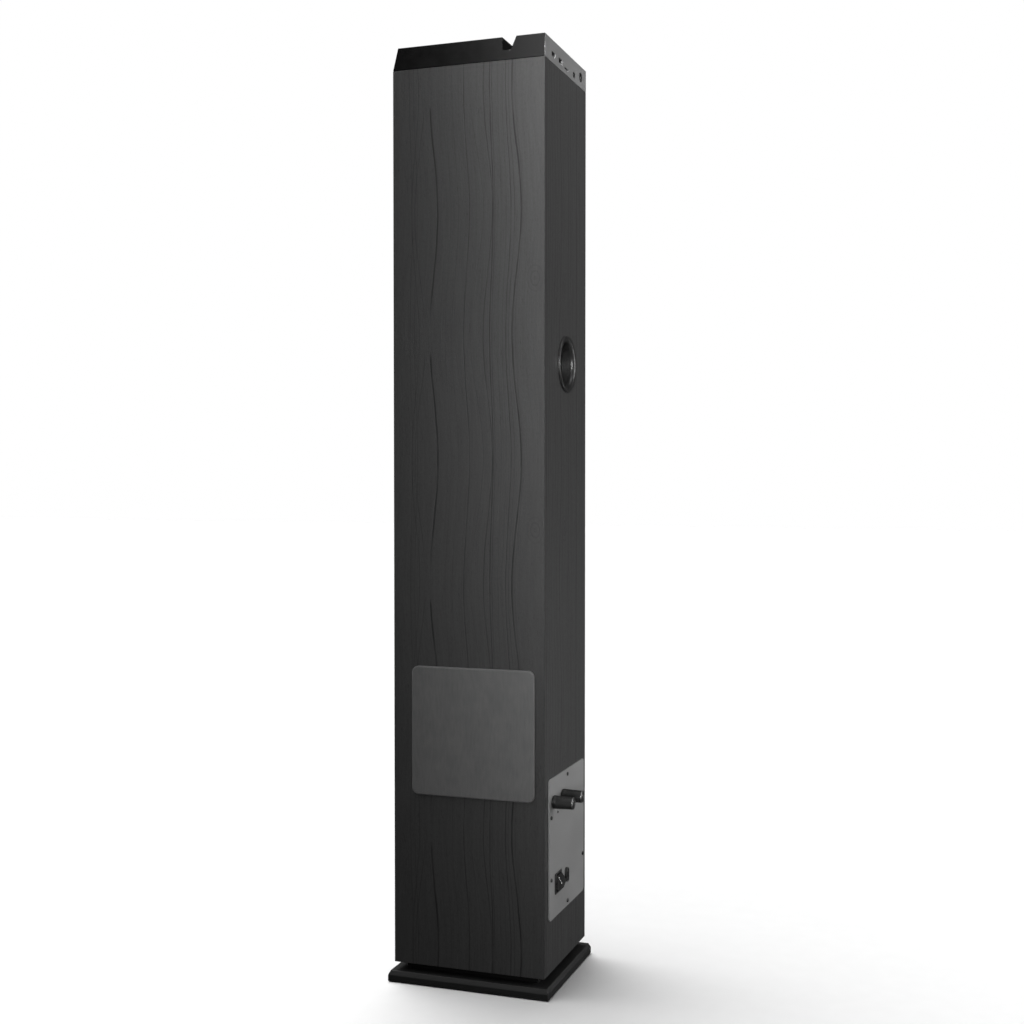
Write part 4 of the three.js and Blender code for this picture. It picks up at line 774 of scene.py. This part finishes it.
# ---------------------------------------------------------------- Bass and treble knobs
# Two long moulded knobs, fluted for grip, with a smooth skirt, a satin metal trim ring round the
# dished end and an inlaid pointer line. Each has a shaft that turns in its potentiometer.
KNOB_FLUTES = 32
KNOB_FLUTE_DEEP = 0.965
knob_plastic = surface(
    "knob_black_plastic", grey(0.005), grey(0.009), 0.36, shine=0.4, grit=2200, depth=0.00002
)
trim_metal = surface(
    "knob_trim_satin_metal", grey(0.14), grey(0.20), 0.42, metal=1.0, grit=1800, depth=0.00001
)
pointer_paint = surface("pointer_white_paint", grey(0.45), grey(0.6), 0.6, grit=1500)
for name in ("bass", "treble"):
    low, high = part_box(name + "_knob")
    spot = Vector((middle(name + "_knob").x, low.y, middle(name + "_knob").z))
    length = high.y - low.y
    start = plate_high.y + 0.0007 - low.y
    radius, tip = (high.x - low.x) / 2, 0.0067
    points = [
        (0, 0), (0.003, 0), (0.003, start), (radius - 0.0004, start), (radius, start + 0.0004),
        (radius, start + 0.0030), (radius - 0.0003, start + 0.0036), (radius - 0.0002, start + 0.0044),
        (tip, length - 0.0022), *curve(tip - 0.0010, length - 0.0010, 0.0010, 0, 90, 6),
        (tip - 0.0024, length - 0.00015), (tip - 0.0042, length - 0.0005), (0, length - 0.0006),
    ]
    shape = turned(points, spot, (0, 1, 0), KNOB_FLUTES * 4)
    for vert in shape.verts:
        out = vert.co - spot
        if start + 0.0040 < out.y < length - 0.0020:
            turn = round(atan2(out.z, out.x) / (2 * pi) * KNOB_FLUTES * 4) % 4
            if turn == 2:
                vert.co = spot + Vector((out.x * KNOB_FLUTE_DEEP, out.y, out.z * KNOB_FLUTE_DEEP))
    finished(
        name + "_knob_moulded", shape, knob_plastic, name + "_knob", name + "_knob", slot="black_plastic"
    )
    trim_points = [
        (tip - 0.0001, length - 0.0012), (tip + 0.0001, length - 0.0010), (tip - 0.0002, length - 0.0003),
        (tip - 0.0007, length), (tip - 0.0013, length - 0.0002), (tip - 0.0014, length - 0.0009),
    ]
    trim = turned(trim_points, spot, (0, 1, 0), 96, closed=True)
    finished(name + "_knob_trim", trim, trim_metal, name + "_knob")
    pointer = bmesh.new()
    end = high.y - 0.0005
    block_between(
        pointer, (spot.x - 0.00045, end - 0.0004, spot.z + 0.0012), (
            spot.x + 0.00045, end + 0.0001, spot.z + 0.0040
        )
    )
    soften(pointer, 0.0001)
    finished(name + "_knob_pointer", pointer, pointer_paint, name + "_knob")

    low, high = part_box(name + "_pot")
    centre = (middle(name + "_pot").x, low.y, middle(name + "_pot").z)
    deep = high.y - low.y
    pot_points = [
        (0, 0), (0.008, 0), (0.008, deep - 0.003), (0.0065, deep - 0.003), (0.0065, deep), (0.0033, deep),
        (0.0033, deep - 0.009), (0, deep - 0.009),
    ]
    finished(
        name + "_pot_can", turned(pot_points, centre, (0, 1, 0), 64, 0.0003), plated_steel, "cabinet",
        name + "_pot", slot="sheet_steel",
    )


# ---------------------------------------------------------------- Power switch
# A snap-in nylon housing with a square bezel holds a ridged rocker, moulded in glossier nylon. The
# rocker tips about two small pins, and its upper half is pressed in.
nylon = surface("switch_nylon", grey(0.010), grey(0.018), 0.42, grit=2400, depth=0.00002)
rocker_nylon = surface(
    "rocker_gloss_nylon", grey(0.016), grey(0.026), 0.20, shine=0.8, grit=2400, depth=0.000006
)
finished(
    "power_switch_bezel", eased("power_switch_housing", 0.00035, 0.005), nylon, "cabinet",
    "power_switch_housing", slot="black_plastic",
)
finished(
    "power_rocker_moulded", eased("power_rocker", 0.0006, 0.006, 3), rocker_nylon, "power_rocker",
    "power_rocker", slot="black_plastic",
)


# ---------------------------------------------------------------- Mains inlet
# A two-pole appliance inlet in black nylon: a rounded shroud round two round pins, with a flange
# that is riveted behind the plate.
def sink(shape, face, deep):
    """Pushes one face back along Y to leave a well."""
    sunk = bmesh.ops.extrude_discrete_faces(shape, faces=[face])["faces"]
    bmesh.ops.translate(shape, verts=sunk[0].verts, vec=(0, -deep, 0))
    bmesh.ops.remove_doubles(shape, verts=shape.verts, dist=1e-6)


INLET_WALL = 0.001
INLET_WELL = 0.012
inlet_low, inlet_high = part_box("mains_inlet")
outline = rounded(
    inlet_mid.x - INLET_HALF_WIDE, inlet_mid.z - INLET_HALF_HIGH, inlet_mid.x + INLET_HALF_WIDE,
    inlet_mid.z + INLET_HALF_HIGH, INLET_CORNER, 10,
)
shape = slab([(u, inlet_low.y, v) for u, v in outline], (0, inlet_high.y - inlet_low.y, 0))
front_face = max(shape.faces, key=lambda f: f.calc_center_median().y)
bmesh.ops.inset_region(shape, faces=[front_face], thickness=INLET_WALL, depth=0)
sink(shape, front_face, INLET_WELL)
soften(shape, 0.00025, 2, 50)
flange = bmesh.new()
flange_front = plate_low.y - SEAT
block_between(
    flange, (inlet_low.x, flange_front - 0.002, inlet_low.z), (inlet_high.x, flange_front, inlet_high.z)
)
soften(flange, 0.0004)
merge(shape, flange)
finished("mains_inlet_shroud", shape, nylon, "cabinet", "mains_inlet", slot="black_plastic")
pin_metal = surface("inlet_pin_nickel", grey(0.45), grey(0.6), 0.22, metal=1.0, grit=1500, depth=0.00001)
PIN_PITCH_HALF = 0.0043
for side, place_z in (("lower", inlet_mid.z - PIN_PITCH_HALF), ("upper", inlet_mid.z + PIN_PITCH_HALF)):
    points = [(0, -0.0125), (0.0012, -0.0125), (0.0012, -0.0036), (0.0008, -0.0030), (0, -0.0029)]
    pin = turned(points, (inlet_mid.x, inlet_high.y, place_z), (0, 1, 0), 32)
    finished("mains_pin_" + side, pin, pin_metal, "cabinet")


# ---------------------------------------------------------------- Amplifier electronics
# Behind the plate a folded steel box screens the circuit board, with its heatsink and capacitors,
# and the mains transformer. All of it is closed in by the back panel.
screen_steel = surface("screen_box_steel", grey(0.34), grey(0.48), 0.38, metal=1.0, grit=700, depth=0.00002)
board_green = surface("circuit_board_green", (0.012, 0.055, 0.022), (0.02, 0.09, 0.035), 0.4, grit=1600)
finished("amp_back_box_folded", eased("amp_back_box", 0.0004, 0.02), screen_steel, "cabinet", "amp_back_box",
         slot="sheet_steel")
repaint("amp_circuit_board", board_green)
finished("mains_transformer_wound", eased("mains_transformer", 0.0008, 0.01), plated_steel, "cabinet",
         "mains_transformer", slot="magnet_steel")


# ---------------------------------------------------------------- Cap
# The top is one moulding in satin black plastic that drops over the cabinet. A slot through its
# full width holds a tablet on edge, and the front of it slopes down to the grille.
cap_plastic = surface(
    "cap_satin_black", grey(0.0015), grey(0.0025), 0.18, shine=0.5, grit=2600, depth=0.000004
)
finished("cap_moulding", eased("cap_shell", 0.0006, 0.004, 3, 15), cap_plastic, "cabinet", "cap_shell",
         slot="black_plastic", crease=20)

touch_low, touch_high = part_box("touch_panel")
TOUCH_CORNER = 0.006
outline = rounded(touch_low.x, touch_low.y, touch_high.x, touch_high.y, TOUCH_CORNER, 10)
shape = slab([(u, v, touch_low.z) for u, v in outline], (0, 0, touch_high.z - touch_low.z))
soften(shape, 0.0003, 3, 50)
touch_gloss = surface(
    "touch_panel_gloss", grey(0.004), grey(0.006), 0.12, shine=0.6, grit=500, depth=0.000002
)
finished("touch_panel_polished", shape, touch_gloss, "cabinet", "touch_panel", slot="touch_gloss")

print_grey = surface("printed_grey_marks", grey(0.28), grey(0.34), 0.5, grit=1500)
marks_y = (touch_low.y + touch_high.y) / 2
mark_top = touch_high.z + 0.00005
for name, across in (("minus", -0.036), ("play", -0.012), ("plus", 0.012), ("standby", 0.036)):
    if name == "play":
        tip_x, tail_x = across + 0.0026, across - 0.0022
        spots = ((tip_x, marks_y), (tail_x, marks_y + 0.0028), (tail_x, marks_y - 0.0028))
        shape = slab([(u, v, touch_high.z) for u, v in spots], (0, 0, mark_top - touch_high.z))
    elif name == "standby":
        ring_points = [(0.0025, 0), (0.0030, 0), (0.0030, 0.00005), (0.0025, 0.00005)]
        shape = turned(ring_points, (across, marks_y, touch_high.z), (0, 0, 1), 48, closed=True)
    else:
        shape = bmesh.new()
        bars = [(0.0028, 0.0003), (0.0003, 0.0028)] if name == "plus" else [(0.0028, 0.0003)]
        for wide, high in bars:
            block_between(
                shape, (across - wide, marks_y - high, touch_high.z),
                (across + wide, marks_y + high, mark_top),
            )
    finished("touch_mark_" + name, shape, print_grey, "cabinet")


# ---------------------------------------------------------------- Input panel and sockets
# A satin grey aluminium plate closes the back of the cap. Behind it sit two blackened USB-A sockets, a
# memory-card slot, a 3.5 mm line jack and a 6.3 mm microphone jack with a dark collar.
panel_paint = satin_paint("input_panel_satin_grey", grey(0.105), grey(0.130), 0.42, 0.45)
panel_low, panel_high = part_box("io_panel")
usb_mids = [middle("usb_socket_1"), middle("usb_socket_2")]
card_mid, aux_mid, mic_mid = middle("memory_card_socket"), middle("aux_jack"), middle("mic_jack")
AUX_COLLAR, MIC_COLLAR = 0.0030, 0.0050
panel_holes = [rounded(m.x - 0.0071, m.z - 0.0027, m.x + 0.0071, m.z + 0.0027, 0.0005, 3) for m in usb_mids]
panel_holes += [
    rounded(card_mid.x - 0.0077, card_mid.z - 0.00105, card_mid.x + 0.0077, card_mid.z + 0.00105, 0.0003, 3),
    circle(aux_mid.x, aux_mid.z, AUX_COLLAR + 0.0003),
    circle(mic_mid.x, mic_mid.z, MIC_COLLAR + 0.0003),
]
panel_outline = rounded(panel_low.x, panel_low.z, panel_high.x, panel_high.z, 0.0004, 3)
finished(
    "input_panel_painted", pierced(panel_outline, panel_holes, panel_low.y, panel_high.y, 0.00025),
    panel_paint,
    "cabinet", "io_panel", slot="plate_paint", crease=40,
)

socket_plate = surface(
    "socket_black_nickel", grey(0.040), grey(0.060), 0.30, metal=0.9, grit=1500, depth=0.00001
)
tongue_plastic = surface("socket_tongue_plastic", grey(0.02), grey(0.03), 0.5, grit=1500)
contact_gold = surface("contact_gold", (0.30, 0.20, 0.07), (0.38, 0.27, 0.10), 0.45, metal=1.0, grit=1500)


def open_box(node, wall_u, wall_v, deep):
    """A drawn metal shell facing +Y, open at the front to the given depth."""
    low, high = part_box(node)
    shape = bmesh.new()
    block_between(shape, low, high)
    mouth = max(shape.faces, key=lambda f: f.calc_center_median().y)
    bmesh.ops.inset_region(shape, faces=[mouth], thickness=wall_v, depth=0)
    centre = (low + high) / 2
    wide = (high.x - low.x) / 2
    for vert in mouth.verts:
        vert.co.x = centre.x + (wide - wall_u) * (1 if vert.co.x > centre.x else -1)
    sink(shape, mouth, deep)
    soften(shape, 0.0002, 2, 50)
    return shape


for i, spot in enumerate(usb_mids, 1):
    node = "usb_socket_%d" % i
    low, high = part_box(node)
    finished("usb_shell_%d" % i, open_box(node, 0.0014, 0.0011, 0.011), socket_plate, "cabinet", node,
             slot="socket_metal")
    tongue = bmesh.new()
    block_between(
        tongue, (spot.x - 0.0055, high.y - 0.0112, spot.z + 0.0002), (
            spot.x + 0.0055, high.y - 0.0012, spot.z + 0.0020
        )
    )
    soften(tongue, 0.0002)
    finished("usb_tongue_%d" % i, tongue, tongue_plastic, "cabinet")
    contacts = bmesh.new()
    for k in (-1.5, -0.5, 0.5, 1.5):
        middle_x = spot.x + k * 0.0024
        block_between(
            contacts, (middle_x - 0.0005, high.y - 0.0105, spot.z + 0.0001),
            (middle_x + 0.0005, high.y - 0.0020, spot.z + 0.00025),
        )
    finished("usb_contacts_%d" % i, contacts, contact_gold, "cabinet")

finished("memory_card_shell", open_box("memory_card_socket", 0.0021, 0.00135, 0.013), socket_plate, "cabinet",
         "memory_card_socket", slot="socket_metal")

for name, spot, collar, bore in (
    ("aux", aux_mid, AUX_COLLAR, 0.00185), ("mic", mic_mid, MIC_COLLAR, 0.00325)
):
    low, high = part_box(name + "_jack")
    centre = Vector((spot.x, high.y, spot.z))
    body = (high.x - low.x) / 2
    seat_y = panel_low.y - SEAT - high.y
    deep = low.y - high.y
    body_points = [
        (0, deep), (body, deep), (body, seat_y), (bore + 0.0009, seat_y), (bore + 0.0009, -0.0008),
        (bore, -0.0010), (bore, deep + 0.002), (0, deep + 0.002),
    ]
    jack_body = turned(body_points, centre, (0, 1, 0), 48)
    finished(name + "_jack_body", jack_body, nylon, "cabinet", name + "_jack", slot="black_plastic")
    collar_points = [
        (bore + 0.00095, seat_y + 0.0001), (collar, seat_y + 0.0001), (collar, -0.0003), (collar - 0.0003, 0),
        (bore + 0.0005, 0), (bore + 0.0001, -0.0005), (bore + 0.0001, -0.0009), (bore + 0.00095, -0.0009),
    ]
    finished(name + "_jack_collar", turned(collar_points, centre, (0, 1, 0), 48, closed=True), socket_plate,
             "cabinet")


# ---------------------------------------------------------------- Studio
# Two wide suns light a plain pale floor. Gridded strips and softboxes, kept off the floor, light the
# cabinet alone, so that the light fades towards its front edge and its base.
scene = bpy.context.scene
scene.view_settings.view_transform = "Standard"
FLOOR_HALF = 14.0
shape = bmesh.new()
bmesh.ops.create_grid(shape, x_segments=8, y_segments=8, size=FLOOR_HALF)
floor_data = bpy.data.meshes.new("studio_floor")
shape.to_mesh(floor_data)
shape.free()
floor = bpy.data.objects.new("studio_floor", floor_data)
scene.collection.objects.link(floor)
floor_data.materials.append(surface("studio_floor_paper", grey(0.91), grey(0.93), 0.9, shine=0.1, grit=40))
floor.visible_diffuse = False
floor.visible_glossy = False

world = bpy.data.worlds.new("studio_white")
world.use_nodes = True
scene.world = world
FILL_ABOVE, FILL_BELOW = 0.03, 0.05
sky = world.node_tree
seen = wire(sky, "LightPath", {}).outputs["Is Camera Ray"]
height = wire(sky, "SeparateXYZ", {0: wire(sky, "TexCoord", {}).outputs["Generated"]}).outputs["Z"]
fill = wire(sky, "MapRange", {0: height, 1: -0.05, 2: 0.05, 3: FILL_BELOW, 4: FILL_ABOVE}).outputs[0]
brightness = wire(sky, "Mix", {0: seen, 2: fill, 3: 1.0}, data_type="FLOAT").outputs[0]
sky.links.new(brightness, sky.nodes["Background"].inputs["Strength"])
sky.nodes["Background"].inputs["Color"].default_value = (1, 1, 1, 1)


def aimed(obj, place, target):
    obj.location = place
    obj.rotation_mode = "QUATERNION"
    obj.rotation_quaternion = (Vector(target) - Vector(place)).to_track_quat("-Z", "Y")


def sunlight(name, place, energy, softness):
    light = bpy.data.lights.new(name, "SUN")
    light.energy = energy
    light.angle = radians(softness)
    lamp = bpy.data.objects.new(name, light)
    scene.collection.objects.link(lamp)
    aimed(lamp, place, (0, 0, 0))


not_on_the_floor = bpy.data.collections.new("not_on_the_floor")
not_on_the_floor.objects.link(floor)
not_on_the_floor.collection_objects[0].light_linking.link_state = "EXCLUDE"


def softbox(name, place, target, wide, high, energy, grid=180):
    light = bpy.data.lights.new(name, "AREA")
    light.shape = "RECTANGLE"
    light.size, light.size_y = wide, high
    light.energy = energy
    light.spread = radians(grid)
    lamp = bpy.data.objects.new(name, light)
    lamp.visible_camera = False
    lamp.light_linking.receiver_collection = not_on_the_floor
    scene.collection.objects.link(lamp)
    aimed(lamp, place, target)


sunlight("overhead", (-1.2, -1.4, 4.0), 2.4, 50)
sunlight("left_front", (1.12, -1.28, 3.6), 1.5, 80)
strip_way = Vector((-0.998, -0.0645, 0))
for name, strip_z, strip_high, watts in (("upper", 1.6, 0.6, 44.0), ("lower", 0.8, 1.0, 13.0)):
    strip_place = Vector((2.3, 0.8, strip_z))
    softbox("side_strip_" + name, strip_place, strip_place + strip_way, 0.15, strip_high, watts, 40)
softbox("side_reflection", (2.2, -0.25, 1.7), (0.078, -0.25, 0.95), 0.9, 1.0, 4.0)
softbox("side_low_fill", (2.2, -0.25, 0.7), (0.078, -0.3, 0.5), 0.75, 1.0, 2.5)
softbox("back_fill", (-0.5, 2.2, 0.9), (0.0, 0.089, 0.55), 1.0, 1.6, 34.0)
softbox("back_low_strip", (-0.9, 1.2, 0.10), (-0.2, 0.089, 0.18), 0.15, 0.4, 0.7, 90)
softbox("top_fill", (0.2, 0.8, 2.2), (0.0, 0.1, 0.9), 0.8, 0.8, 4.0)

camera_data = bpy.data.cameras.new("studio_camera")
camera_data.sensor_width = 36
camera_data.lens = 49.733
camera = bpy.data.objects.new("studio_camera", camera_data)
scene.collection.objects.link(camera)
CAMERA_PLACE = Vector((1.5326, 0.5628, 0.5721))
CAMERA_AZIMUTH, CAMERA_PITCH = radians(109.362), radians(1.480)
looking = Vector((
    -sin(CAMERA_AZIMUTH) * cos(CAMERA_PITCH), cos(CAMERA_AZIMUTH) * cos(CAMERA_PITCH), -sin(CAMERA_PITCH),
))
aimed(camera, CAMERA_PLACE, CAMERA_PLACE + looking)
scene.camera = camera
